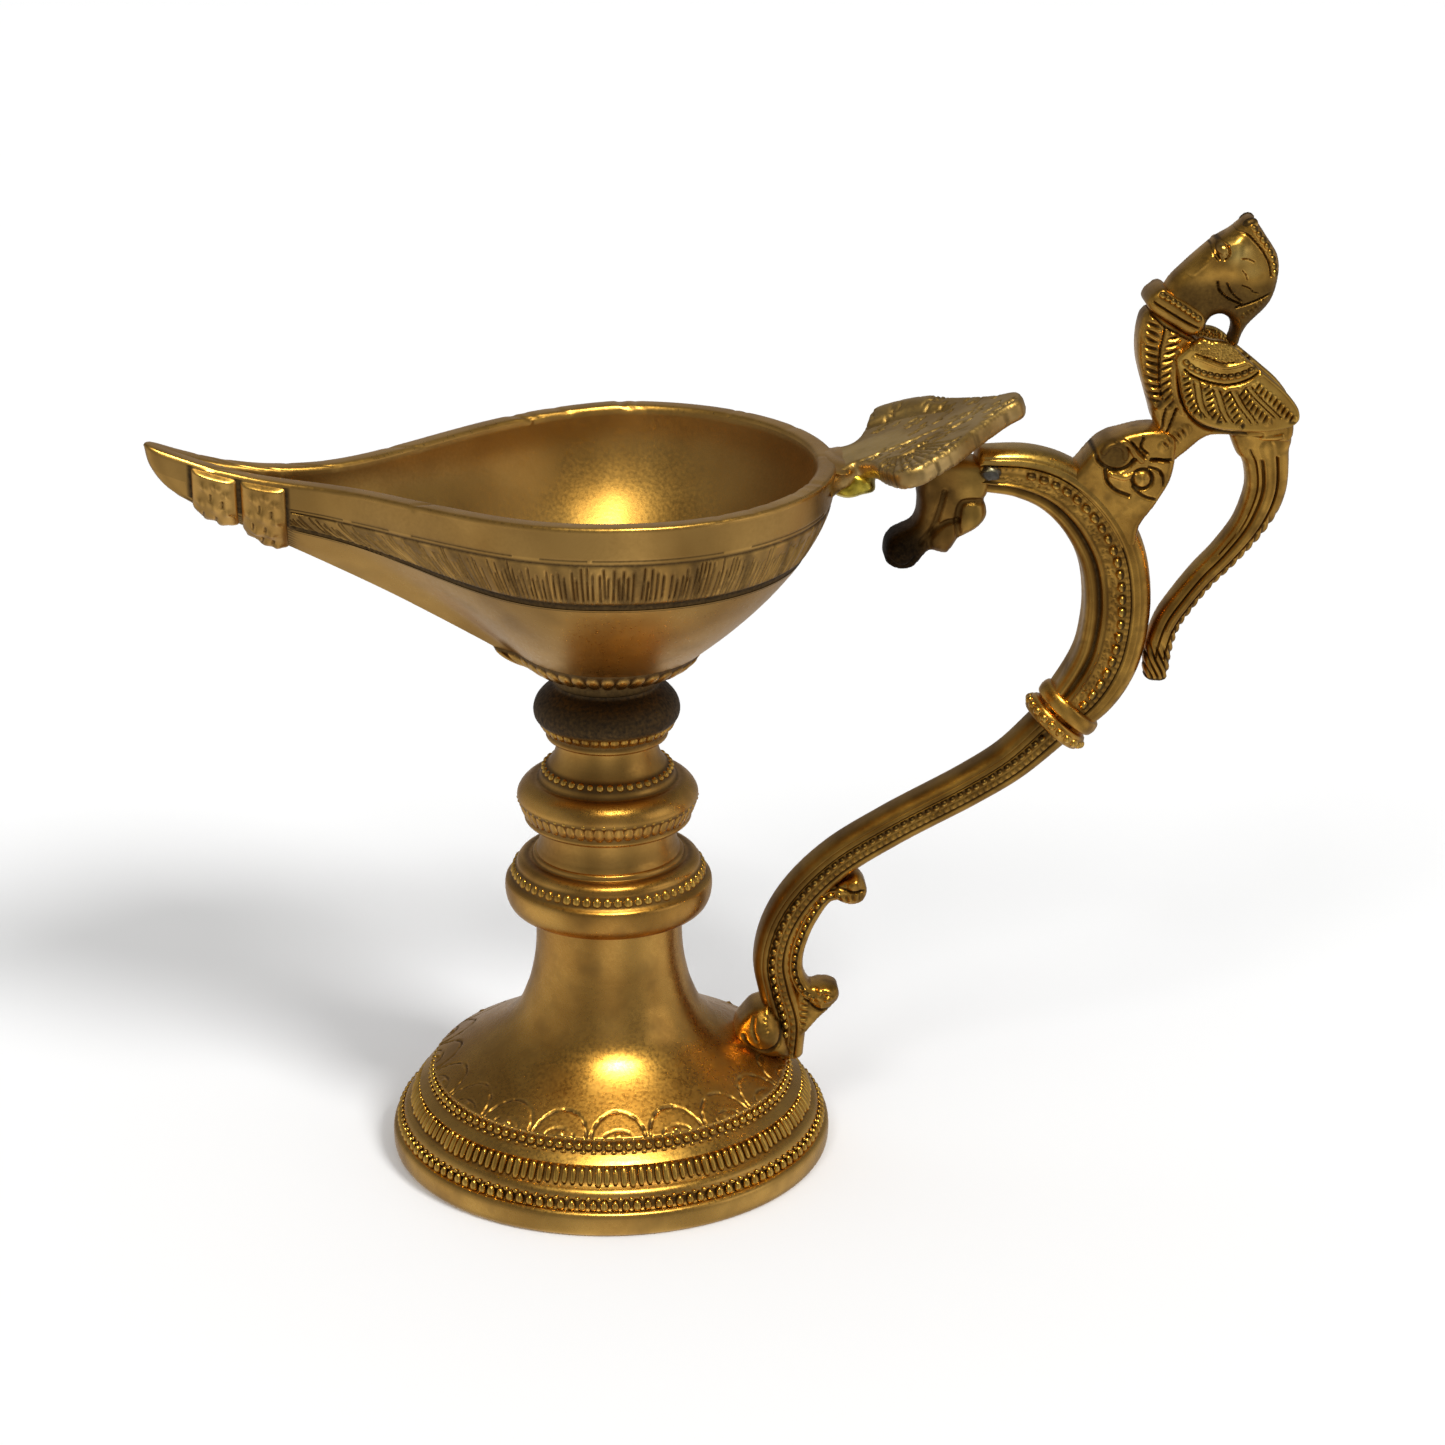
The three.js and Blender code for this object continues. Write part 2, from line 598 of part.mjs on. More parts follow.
function leafBraze() {
  const centre = [rimRear + BRAZE_LENGTH / 3, 0, rimLevel - LEAF_THICKNESS];
  const blob = lump(centre, [BRAZE_LENGTH / 2, BRAZE_WIDTH / 2, BRAZE_HEIGHT / 2]);
  return blob.subtract(bowlForm(JOINT_GAP)).subtract(leafForm(JOINT_GAP));
}

// Arch, from under the leaf plate to the collar
const archPlaces = fromRim(ARCH_SPINE_SHARES, ARCH_REACH, ARCH_DROP);

function archForm(grow = 0) {
  return strap({
    places: archPlaces,
    halfWidth: (share) => along(ARCH_WIDTH_SHARES, share) * ARCH_WIDTH / 2,
    halfDepth: () => ARCH_DEPTH / 2,
    grow,
  });
}

function handleArch() {
  return archForm().subtract(leafForm(JOINT_GAP));
}

// Curled leaf that hangs from the arch's end
function pendantForm(grow = 0) {
  const outline = fromRim(PENDANT_SHARES, PENDANT_REACH, PENDANT_DROP);
  return slab({ outline, depth: PENDANT_DEPTH, grow });
}

function archEndLeaf() {
  return pendantForm().subtract(archForm(JOINT_GAP)).subtract(leafForm(JOINT_GAP));
}

// Solder that fills the corner between the arch and the leaf plate, on the near side
function plateSolder() {
  const [[x, z]] = fromRim([SOLDER_SHARES], ARCH_REACH, ARCH_DROP);
  const centre = [x, -ARCH_DEPTH / 2, z];
  const sizes = [SOLDER_RADIUS, SOLDER_RADIUS * SOLDER_DEPTH_SHARE, SOLDER_RADIUS * SOLDER_HEIGHT_SHARE];
  const blob = lump(centre, sizes).subtract(leafForm(JOINT_GAP));
  return blob.subtract(archForm(JOINT_GAP)).subtract(pendantForm(JOINT_GAP));
}

// Collar: two rings round the joint of arch and bar, square to the arch's end
const collarPlace = archPlaces.at(-1);

function collarRing(side) {
  const { tangent } = stationOf(spineOf(archPlaces), 1);
  const outline = COLLAR_SHARES.map(([r, z]) => [r * COLLAR_RADIUS, z * COLLAR_RING_HEIGHT]);
  const shift = side * (COLLAR_RING_HEIGHT + JOINT_GAP) / 2;
  const turn = new THREE.Quaternion().setFromUnitVectors(new THREE.Vector3(0, 0, 1), tangent);
  const geometry = latheGeometry(outline, KNOP_FACETS / 2).translate(0, 0, shift).applyQuaternion(turn);
  const ring = solidOf(geometry.translate(collarPlace[0], 0, collarPlace[1]));
  return ring.subtract(archForm(JOINT_GAP)).subtract(barForm(JOINT_GAP));
}

// Bar, from the foot up into the collar
const barFootRadius = BAR_FOOT_SHARE * FOOT_RADIUS;
const barFoot = [barFootRadius, footLevel(barFootRadius)];
const barSpan = [collarPlace[0] - barFoot[0], collarPlace[1] - barFoot[1]];

function onBar(shares) {
  return placed(shares, barFoot, barSpan);
}

function barForm(grow = 0) {
  return strap({
    places: onBar(BAR_SPINE_SHARES),
    halfWidth: (share) => along(BAR_WIDTH_SHARES, share) * BAR_WIDTH / 2,
    halfDepth: () => BAR_DEPTH / 2,
    steps: BAR_STEPS,
    grow,
  });
}

// Outside of the foot as a solid, moved out
function footForm(grow) {
  const outside = footOutside.map(([r, z]) => [r + grow, z + grow]);
  return lathe([[0, outside[0][1]], ...outside, [0, outside.at(-1)[1]]], FOOT_FACETS);
}

function handleBar() {
  const bar = barForm().subtract(archForm(JOINT_GAP)).subtract(footForm(JOINT_GAP));
  return bar.subtract(bractRivet(JOINT_GAP));
}

// Inner scroll of the bar: a strip with a knob at each end, and its lower root
function scrollForm() {
  const strip = (shares, width, steps) => strap({
    places: onBar(shares),
    halfWidth: () => width / 2,
    halfDepth: () => SCROLL_DEPTH / 2,
    steps,
  });
  const knobs = [SCROLL_SPINE_SHARES[0], SCROLL_SPINE_SHARES.at(-1)].map((share) => {
    const [[x, z]] = onBar([share]);
    return lump([x, 0, z], [SCROLL_KNOB_RADIUS, SCROLL_DEPTH * KNOB_DEPTH_SHARE, SCROLL_KNOB_RADIUS]);
  });
  const curl = strip(SCROLL_SPINE_SHARES, SCROLL_WIDTH, STRAP_STEPS);
  const root = strip(SCROLL_ROOT_SHARES, SCROLL_ROOT_WIDTH, ROOT_STEPS);
  return curl.add(root).add(knobs[0]).add(knobs[1]);
}

function barScroll() {
  return scrollForm().subtract(barForm(JOINT_GAP)).subtract(footForm(JOINT_GAP));
}

// Rolled leaf that clasps the foot
function handleBract() {
  const roll = slab({ outline: onBar(BRACT_SHARES), depth: BRACT_DEPTH });
  return roll.subtract(footForm(JOINT_GAP)).subtract(barForm(JOINT_GAP)).subtract(bractRivet(JOINT_GAP));
}

// Rivet from inside the foot into the bract, square to the foot's wall
function bractRivet(grow = 0) {
  const radius = RIVET_PLACE_SHARE * barFootRadius;
  const under = -FOOT_WALL - JOINT_GAP;
  const outline = [
    [0, under - RIVET_HEAD_HEIGHT - grow],
    [RIVET_HEAD_RADIUS + grow, under - RIVET_HEAD_HEIGHT - grow],
    [RIVET_HEAD_RADIUS + grow, under + grow],
    [RIVET_RADIUS + grow, under + grow],
    [RIVET_RADIUS + grow, RIVET_REACH + grow],
    [0, RIVET_REACH + grow],
  ];
  const turn = new THREE.Quaternion().setFromUnitVectors(new THREE.Vector3(0, 0, 1), footNormal(radius));
  const geometry = latheGeometry(outline, ROD_FACETS).applyQuaternion(turn);
  return solidOf(geometry.translate(radius, 0, footLevel(radius)));
}

// Perch: scrolled block on the arch's back
const [perchCorner] = fromRim([PERCH_CORNER_SHARES], ARCH_REACH, ARCH_DROP);

function perchForm(grow = 0) {
  const outline = placed(PERCH_SHARES, perchCorner, [PERCH_LENGTH, PERCH_HEIGHT]);
  return slab({ outline, depth: PERCH_DEPTH, grow });
}

function perchScroll() {
  return perchForm().subtract(archForm(JOINT_GAP));
}

// Bird, standing on the perch
const [birdCorner] = placed([BIRD_STAND_SHARES], perchCorner, [PERCH_LENGTH, PERCH_HEIGHT]);

function onBird(shares) {
  return placed(shares, birdCorner, [BIRD_LENGTH, BIRD_HEIGHT]);
}

function torsoForm(grow = 0) {
  return slab({ outline: onBird(TORSO_SHARES), depth: BIRD_DEPTH, grow });
}

function bandForm(grow = 0) {
  return strap({
    places: onBird(NECK_BAND_SHARES),
    halfWidth: () => NECK_BAND_WIDTH / 2,
    halfDepth: () => BIRD_DEPTH / 2 + NECK_BAND_RAISE,
    steps: ROOT_STEPS,
    grow,
  });
}

function birdTorso() {
  return torsoForm().subtract(perchForm(JOINT_GAP)).subtract(bandForm(JOINT_GAP));
}

function birdHead() {
  const head = slab({ outline: onBird(HEAD_SHARES), depth: BIRD_DEPTH });
  return head.subtract(bandForm(JOINT_GAP)).subtract(torsoForm(JOINT_GAP));
}

function birdWing(side) {
  const middle = side * (BIRD_DEPTH / 2 + JOINT_GAP + WING_THICKNESS / 2);
  const wing = slab({ outline: onBird(WING_SHARES), depth: WING_THICKNESS, middle });
  return wing.subtract(bandForm(JOINT_GAP));
}

// Tail, from the rump down against the arch's side
function birdTail() {
  const seat = stationOf(spineOf(archPlaces), TAIL_SIDE_SHARE);
  const halfArch = along(ARCH_WIDTH_SHARES, TAIL_SIDE_SHARE) * ARCH_WIDTH / 2;
  const side = seat.at.addScaledVector(seat.normal, halfArch);
  const [rump] = onBird([RUMP_SHARES]);
  const tail = strap({
    places: placed(TAIL_SPINE_SHARES, [side.x, side.z], [rump[0] - side.x, rump[1] - side.z]),
    halfWidth: (share) => along(TAIL_WIDTH_SHARES, share) * TAIL_WIDTH / 2,
    halfDepth: () => TAIL_DEPTH / 2,
  });
  return tail.subtract(torsoForm(JOINT_GAP)).subtract(archForm(JOINT_GAP));
}

// Finishes: old brass, bright brass where it was brazed, grey solder, steel fasteners
const BRASS = { color: 0xa9822f, metalness: 0.9, roughness: 0.4 };
const BRAZE = { color: 0xd6b23c, metalness: 0.9, roughness: 0.35 };
const SOLDER = { color: 0x8c8a80, metalness: 0.8, roughness: 0.5 };
const STEEL = { color: 0x8f9196, metalness: 0.9, roughness: 0.4 };

// Mesh of a finished solid, under its name
function pieceOf(name, solid, finish) {
  const { vertProperties, triVerts } = solid.getMesh();
  const geometry = new THREE.BufferGeometry();
  geometry.setAttribute('position', new THREE.BufferAttribute(vertProperties, 3));
  geometry.setIndex(new THREE.BufferAttribute(triVerts, 1));
  const mesh = new THREE.Mesh(geometry, new THREE.MeshStandardMaterial({ ...finish, flatShading: true }));
  mesh.name = name;
  return mesh;
}

// Whole lamp
const lamp = new THREE.Group();
lamp.add(
  pieceOf('foot_bell', footBell(), BRASS),
  pieceOf('stem_lower_knop', lowerKnop(), BRASS),
  pieceOf('stem_middle_knop', middleKnop(), BRASS),
  pieceOf('stem_upper_knop', upperKnop(), BRASS),
  pieceOf('tie_rod', tieRod(), STEEL),
  pieceOf('tie_washer', tieWasher(), STEEL),
  pieceOf('tie_nut', tieNut(), STEEL),
  pieceOf('bowl', bowl(), BRASS),
  pieceOf('leaf_plate', leafForm().subtract(bowlForm(JOINT_GAP)), BRASS),
  pieceOf('leaf_braze', leafBraze(), BRAZE),
  pieceOf('handle_arch', handleArch(), BRASS),
  pieceOf('arch_end_leaf', archEndLeaf(), BRASS),
  pieceOf('plate_solder', plateSolder(), SOLDER),
  pieceOf('collar_upper_ring', collarRing(-1), BRASS),
  pieceOf('collar_lower_ring', collarRing(1), BRASS),
  pieceOf('handle_bar', handleBar(), BRASS),
  pieceOf('bar_scroll', barScroll(), BRASS),
  pieceOf('handle_bract', handleBract(), BRASS),
  pieceOf('bract_rivet', bractRivet(), BRASS),
  pieceOf('perch_scroll', perchScroll(), BRASS),
  pieceOf('bird_torso', birdTorso(), BRASS),
  pieceOf('bird_neck_band', bandForm(), BRASS),
  pieceOf('bird_head', birdHead(), BRASS),
  pieceOf('bird_wing_near', birdWing(-1), BRASS),
  pieceOf('bird_wing_far', birdWing(1), BRASS),
  pieceOf('bird_tail', birdTail(), BRASS),
);

// Origin on the ground, below the middle of the whole lamp
const bounds = new THREE.Box3().setFromObject(lamp);
lamp.position.x = -(bounds.min.x + bounds.max.x) / 2;

const root = new THREE.Group();
root.add(lamp);
export default root;
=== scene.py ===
"""Old brass diya with a bird-topped handle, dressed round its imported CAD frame.

Pieces are shaped in millimetres from the stem's axis: X towards the handle, Y to the
far side, Z up from the ground. Maker.settle turns them into the frame's metres.
"""

from __future__ import annotations

import logging
import math
from dataclasses import dataclass
from enum import Enum
from typing import Callable, Sequence

import bmesh
import bpy
import numpy as np
from mathutils import Matrix, Vector
from mathutils.geometry import delaunay_2d_cdt


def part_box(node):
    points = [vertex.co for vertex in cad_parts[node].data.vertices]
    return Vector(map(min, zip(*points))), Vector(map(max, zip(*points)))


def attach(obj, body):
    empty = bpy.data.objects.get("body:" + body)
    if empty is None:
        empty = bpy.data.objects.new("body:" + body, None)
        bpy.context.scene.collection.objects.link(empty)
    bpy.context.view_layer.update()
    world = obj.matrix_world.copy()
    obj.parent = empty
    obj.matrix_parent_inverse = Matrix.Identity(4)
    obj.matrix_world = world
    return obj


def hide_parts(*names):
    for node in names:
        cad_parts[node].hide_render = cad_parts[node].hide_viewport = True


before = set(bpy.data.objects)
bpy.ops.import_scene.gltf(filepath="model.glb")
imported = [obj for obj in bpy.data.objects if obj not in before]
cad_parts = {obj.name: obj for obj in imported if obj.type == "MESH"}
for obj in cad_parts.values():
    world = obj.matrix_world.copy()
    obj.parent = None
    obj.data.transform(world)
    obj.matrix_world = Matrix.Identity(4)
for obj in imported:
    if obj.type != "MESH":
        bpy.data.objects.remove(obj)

log = logging.getLogger("diya")
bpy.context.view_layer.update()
MM = 0.001
Array = np.ndarray
Places = Sequence[tuple[float, float]]
Triple = tuple[float, float, float]
Mesh, Piece, Socket = bpy.types.Mesh, bpy.types.Object, bpy.types.NodeSocket


class Side(Enum):
    """Sides of the handle's plane: the near one looks at the camera."""

    NEAR = -1
    FAR = 1


# ---- curves and reliefs


def hump(off: Array) -> Array:
    """Round hump: 1 at 0, down to 0 at 1 and -1."""
    return np.clip(1 - off**2, 0, 1)


def run_along(points: Array) -> Array:
    """Distance run at each point of a path."""
    return np.r_[0, np.cumsum(np.linalg.norm(np.diff(points, axis=0), axis=1))]


def smooth_path(places: Sequence[Sequence[float]], step: float, closed: bool = False) -> Array:
    """Evenly spaced points on a smooth curve through some places.

    Args:
        places: Places that the curve passes, in two or three dimensions.
        step: Wished distance between points.
        closed: Whether the curve returns to its start.

    Returns:
        Points, one to a row, without a repeated start where the curve is closed.
    """
    p = np.asarray(places, float)
    ends = (p[-1:], p[:2]) if closed else (2 * p[:1] - p[1:2], 2 * p[-1:] - p[-2:-1])
    q = np.vstack([ends[0], p, ends[1]])
    fine = []
    for a, b, c, d in zip(q, q[1:], q[2:], q[3:]):
        knots = np.cumsum(
            [0.0] + [math.sqrt(np.linalg.norm(n - m)) for m, n in ((a, b), (b, c), (c, d))])
        t = np.linspace(knots[1], knots[2], 16, endpoint=False)[:, None]

        def mix(m: Array, n: Array, i: int, j: int) -> Array:
            """Point between two others at the knots' share."""
            return ((knots[j] - t) * m + (t - knots[i]) * n) / (knots[j] - knots[i])

        ab, bc, cd = mix(a, b, 0, 1), mix(b, c, 1, 2), mix(c, d, 2, 3)
        fine.append(mix(mix(ab, bc, 0, 2), mix(bc, cd, 1, 3), 1, 2))
    fine.append(fine[0][:1] if closed else p[-1:])
    dense = np.vstack(fine)
    run = run_along(dense)
    at = np.linspace(0, run[-1], max(2, round(run[-1] / step)) + 1)
    even = np.column_stack([np.interp(at, run, dense[:, i]) for i in range(dense.shape[1])])
    return even[:-1] if closed else even


def table_value(table: Places, at: Array) -> Array:
    """Values of a smooth curve through a table of (place, value) rows.

    Args:
        table: Places and the values there.
        at: Places to read.

    Returns:
        A value for each place.
    """
    rows = np.asarray(table, float)
    span = rows[-1, 0] - rows[0, 0]
    curve = smooth_path(rows / [span, 1], 0.01)
    order = np.maximum.accumulate(curve[:, 0])
    return np.interp(at, order * span, curve[:, 1])


def nearest(path: Array, points: Array) -> tuple[Array, Array]:
    """Distance run along a path, and signed distance from it, for each point.

    Args:
        path: Corners of the path in two dimensions.
        points: Points to measure.

    Returns:
        The run at the nearest place, and the distance, positive to the path's left.
    """
    best = np.full(len(points), np.inf)
    run = np.zeros(len(points))
    off = np.zeros(len(points))
    passed = 0.0
    for start, end in zip(path, path[1:]):
        size = float(np.hypot(*(end - start)))
        way = (end - start) / size
        rel = points - start
        t = np.clip(rel @ way, 0, size)
        gap = rel - t[:, None] * way
        far = np.hypot(gap[:, 0], gap[:, 1])
        side = np.where(way[0] * rel[:, 1] - way[1] * rel[:, 0] < 0, -1.0, 1.0)
        near = far < best
        best[near], run[near], off[near] = far[near], passed + t[near], (side * far)[near]
        passed += size
    return run, off


def blend(low: float, high: float, value: Array) -> Array:
    """Smooth step from 0 at one value to 1 at another.

    Args:
        low: Value where the step starts.
        high: Value where it ends.
        value: Values to carry.

    Returns:
        Shares from 0 to 1.
    """
    t = np.clip((value - low) / (high - low), 0, 1)
    return t * t * (3 - 2 * t)


class Relief:
    """Height of a carved face, and its tarnish together with painted shade and highlights, at a set
    of points on it.
    """

    STEP = 0.4
    MARK = 0.42
    SCATTER = 0.3

    def __init__(self, points: Array) -> None:
        """Starts flat and bright at the points.

        Args:
            points: Places on the face, in two dimensions.
        """
        self.points = points
        self.height = np.zeros(len(points))
        self.tarnish = np.zeros(len(points))

    def _from(self, places: Places) -> tuple[Array, Array]:
        """Run along and distance from a smooth line through some places."""
        return nearest(smooth_path(places, self.STEP), self.points)

    def darken(self, tarnish: Array) -> None:
        """Makes the face at least as dark as given."""
        self.tarnish = np.maximum(self.tarnish, tarnish)

    def ridge(self, places: Places, half: float, height: float) -> None:
        """Raises a round ridge along a line.

        Args:
            places: Places on the line.
            half: Half width of the ridge.
            height: Height of its crest.
        """
        _, off = self._from(places)
        self.height += height * np.sqrt(hump(off / half))

    def groove(self, places: Places, half: float, depth: float, dark: float = 1.0) -> None:
        """Cuts a round groove along a line, and darkens it.

        Args:
            places: Places on the line.
            half: Half width of the groove.
            depth: Depth at its middle.
            dark: Tarnish at its middle.
        """
        _, off = self._from(places)
        cut = hump(off / half)
        self.height -= depth * cut
        self.darken(dark * cut)

    def ribs(
        self, places: Places, half: float, pitch: float, height: float, lean: float = 0.0,
        bright: float = 0.0
    ) -> None:
        """Raises short ribs across a band along a line.

        Args:
            places: Places on the band's middle line.
            half: Half width of the band.
            pitch: Distance between ribs.
            height: Height of a rib.
            lean: How far a rib runs on along the band for each millimetre across it.
            bright: How much the ribs' tops are rubbed bright.
        """
        run, off = self._from(places)
        band = np.clip(1 - np.abs(off / half) ** 3, 0, 1)
        wave = 0.5 + 0.5 * np.cos(2 * np.pi * (run + lean * off) / pitch)
        self.height += height * band * (wave**0.8 - 0.35)
        self.darken(0.8 * band**0.5 * (1 - wave) ** 2)
        self.tarnish -= bright * band * wave

    def ring(self, centre: tuple[float, float], radius: float, half: float, depth: float) -> None:
        """Cuts a round groove along a circle.

        Args:
            centre: Its middle.
            radius: Its radius.
            half: Half width of the groove.
            depth: Depth at its middle.
        """
        off = np.hypot(*(self.points - centre).T) - radius
        cut = hump(off / half)
        self.height -= depth * cut
        self.darken(cut)

    def dome(self, centre: tuple[float, float], radius: float, height: float) -> None:
        """Raises a round boss.

        Args:
            centre: Its middle.
            radius: Its radius.
            height: Its height.
        """
        off = np.hypot(*(self.points - centre).T) / radius
        self.height += height * np.sqrt(hump(off))

    def swell(self, centre: tuple[float, float], radius: float, height: float) -> None:
        """Raises a soft swelling that runs out gently.

        Args:
            centre: Its middle.
            radius: Where it has lost most of its height.
            height: Its height.
        """
        off = np.hypot(*(self.points - centre).T) / radius
        self.height += height * np.exp(-(off**2))

    def punch(self, where: Array, pitch: float, depth: float, seed: int) -> None:
        """Marks part of the face with closely set round punch marks.

        Args:
            where: Strength of the marks at each point, 0 to 1.
            pitch: Distance between marks.
            depth: Depth of a mark.
            seed: Seed of their uneven places.
        """
        rng = np.random.default_rng(seed)
        low, high = self.points.min(0), self.points.max(0)
        nx, ny = (np.ceil((high - low) / pitch)).astype(int) + 1
        shift = rng.uniform(-self.SCATTER, self.SCATTER, (nx + 1, ny + 1, 2)) * pitch
        cell = np.floor((self.points - low) / pitch).astype(int)
        near = np.full(len(self.points), np.inf)
        for i in (-1, 0, 1):
            for j in (-1, 0, 1):
                at = np.clip(cell + (i, j), 0, (nx, ny))
                mark = low + (at + 0.5) * pitch + shift[at[:, 0], at[:, 1]]
                near = np.minimum(near, np.hypot(*(self.points - mark).T))
        cut = hump(near / (self.MARK * pitch)) * where
        self.height -= depth * cut
        self.darken(0.7 * cut)


Carve = Callable[[Relief], None]


def lengthwise(relief: Relief, over: float) -> Places:
    """Line all along a strap, at a place across it."""
    long = float(relief.points[:, 0].max())
    return (0, over), (long / 2, over), (long, over)


# ---- bodies


@dataclass
class Body:
    """Closed skin in millimetres, with the relief that is raised along its normals."""

    verts: Array
    faces: list[tuple[int, ...]]
    height: Array | None = None
    tarnish: Array | None = None

    def mesh(self, name: str) -> Mesh:
        """Blender mesh of the body: faces turned outwards, relief raised, tarnish and painted
        shading stored.

        Args:
            name: Name of the mesh.

        Returns:
            The mesh.
        """
        mesh = bpy.data.meshes.new(name)
        mesh.from_pydata(self.verts.tolist(), [], self.faces)
        face_outwards(mesh)
        if self.height is not None:
            normals = np.zeros(len(self.verts) * 3)
            mesh.vertex_normals.foreach_get("vector", normals)
            raised = self.verts + normals.reshape(-1, 3) * self.height[:, None]
            mesh.vertices.foreach_set("co", raised.ravel())
        if self.tarnish is not None:
            layer = mesh.attributes.new("tarnish", "FLOAT", "POINT")
            layer.data.foreach_set("value", np.clip(self.tarnish, -1, 1))
        mesh.update()
        return mesh


def face_outwards(mesh: Mesh) -> None:
    """Turns all faces of a mesh outwards.

    Args:
        mesh: The mesh.
    """
    work = bmesh.new()
    work.from_mesh(mesh)
    bmesh.ops.recalc_face_normals(work, faces=work.faces)
    work.to_mesh(mesh)
    work.free()


def skin(rings: Sequence[Array], loop: bool = False) -> Body:
    """Skin over rings of points, whose counts may change by a whole factor from ring to ring.

    Args:
        rings: Rings in order. A ring of one point closes an end.
        loop: Whether the last ring is joined to the first.

    Returns:
        The closed body.
    """
    starts = np.cumsum([0] + [len(r) for r in rings])
    faces: list[tuple[int, ...]] = []
    pairs = list(zip(range(len(rings)), range(1, len(rings))))
    if loop:
        pairs.append((len(rings) - 1, 0))
    for one, two in pairs:
        if len(rings[one]) > len(rings[two]):
            one, two = two, one
        a0, b0, na, nb = starts[one], starts[two], len(rings[one]), len(rings[two])
        k = nb // na
        for j in range(na):
            a, a_next = a0 + j, a0 + (j + 1) % na
            b = [b0 + (j * k + m) % nb for m in range(k + 1)]
            if na == 1:
                faces.extend((a, b[m], b[m + 1]) for m in range(k))
                continue
            half = (k + 1) // 2
            faces.extend((a, b[m], b[m + 1]) for m in range(half - 1))
            faces.append((a, b[half - 1], b[half], a_next))
            faces.extend((a_next, b[m], b[m + 1]) for m in range(half, k))
    return Body(np.vstack(rings), faces)


def thick_sheet(top: Array, bottom: Array) -> Body:
    """Closed body between two sheets of points.

    Args:
        top: Rows and columns of points on the one face.
        bottom: The same on the other face.

    Returns:
        The closed body.
    """
    rows, cols = top.shape[:2]
    count = rows * cols
    at = np.arange(count).reshape(rows, cols)
    quads = np.stack([at[:-1, :-1], at[1:, :-1], at[1:, 1:], at[:-1, 1:]], -1).reshape(-1, 4)
    rim = np.concatenate([at[0], at[1:, -1], at[-1, -2::-1], at[-2:0:-1, 0]])
    walls = np.stack([np.roll(rim, -1), rim, rim + count, np.roll(rim, -1) + count], -1)
    faces = np.vstack([quads, quads[:, ::-1] + count, walls])
    return Body(
        np.vstack([top.reshape(-1, 3), bottom.reshape(-1, 3)]), [tuple(f) for f in faces.tolist()])


@dataclass(frozen=True)
class Plane:
    """Plane that a carved slab lies in: an origin, two directions in it, and one out of it."""

    origin: Triple
    along: Triple
    across: Triple
    out: Triple

    def place(self, flat: Array, out: Array) -> Array:
        """Points in space from places in the plane and heights above it."""
        along, across = flat[:, :1] * np.array(self.along), flat[:, 1:2] * np.array(self.across)
        return np.array(self.origin) + along + across + out[:, None] * np.array(self.out)


def handle_plane(middle: float = 0.0) -> Plane:
    """The handle's own upright plane, or one beside it, seen from the near side."""
    return Plane((0, middle, 0), (1, 0, 0), (0, 0, 1), (0, -1, 0))


@dataclass
class Slab:
    """Flat cast piece with a smooth outline, rounded edges and both faces carved alike."""

    ROW = 0.87
    CLEAR = 0.55

    outline: Places
    half: float
    edge: float = 0.8
    cell: float = 0.3
    plane: Plane = handle_plane()
    crown: float = 0.0

    def body(self, carve: Carve) -> Body:
        """Builds the slab.

        Args:
            carve: Raises and cuts the relief of one face.

        Returns:
            The closed body.
        """
        border = smooth_path(self.outline, self.cell, closed=True)
        ring = np.vstack([border, border[:1]])
        low, high = border.min(0), border.max(0)
        x, z = np.meshgrid(
            np.arange(low[0], high[0], self.cell), np.arange(low[1], high[1], self.cell * self.ROW))
        x[1::2] += self.cell / 2
        inner = np.column_stack([x.ravel(), z.ravel()])
        _, off = nearest(ring, inner)
        area = np.sum(ring[:-1, 0] * ring[1:, 1] - ring[1:, 0] * ring[:-1, 1])
        winding = 1.0 if area > 0 else -1.0
        inner = inner[off * winding > self.CLEAR * self.cell]
        loose = [Vector(p) for p in np.vstack([border, inner]).tolist()]
        found = delaunay_2d_cdt(loose, [], [list(range(len(border)))], 1, 1e-5)
        flat = np.array([tuple(v) for v in found[0]])
        tris = [tuple(f) for f in found[2]]
        _, depth = nearest(ring, flat)
        depth = np.abs(depth)
        inset = self.edge - np.minimum(depth, self.edge)
        level = self.half - self.edge + np.sqrt(np.maximum(self.edge**2 - inset**2, 0))
        level += self.crown * (1 - np.exp(-depth / max(self.edge, 0.1)))
        relief = Relief(flat)
        carve(relief)
        fade = blend(0, self.edge * 0.8, depth)
        count = len(flat)
        edges: dict[tuple[int, int], int] = {}
        for a, b, c in tris:
            for m, n in ((a, b), (b, c), (c, a)):
                edges[(m, n)] = edges.get((m, n), 0) + 1
        rim = [(m, n) for m, n in edges if (n, m) not in edges]
        faces = tris + [(c + count, b + count, a + count) for a, b, c in tris]
        faces += [(n, m, m + count, n + count) for m, n in rim]
        verts = np.vstack([self.plane.place(flat, level), self.plane.place(flat, -level)])
        return Body(verts, faces, np.tile(relief.height * fade, 2), np.tile(relief.tarnish, 2))


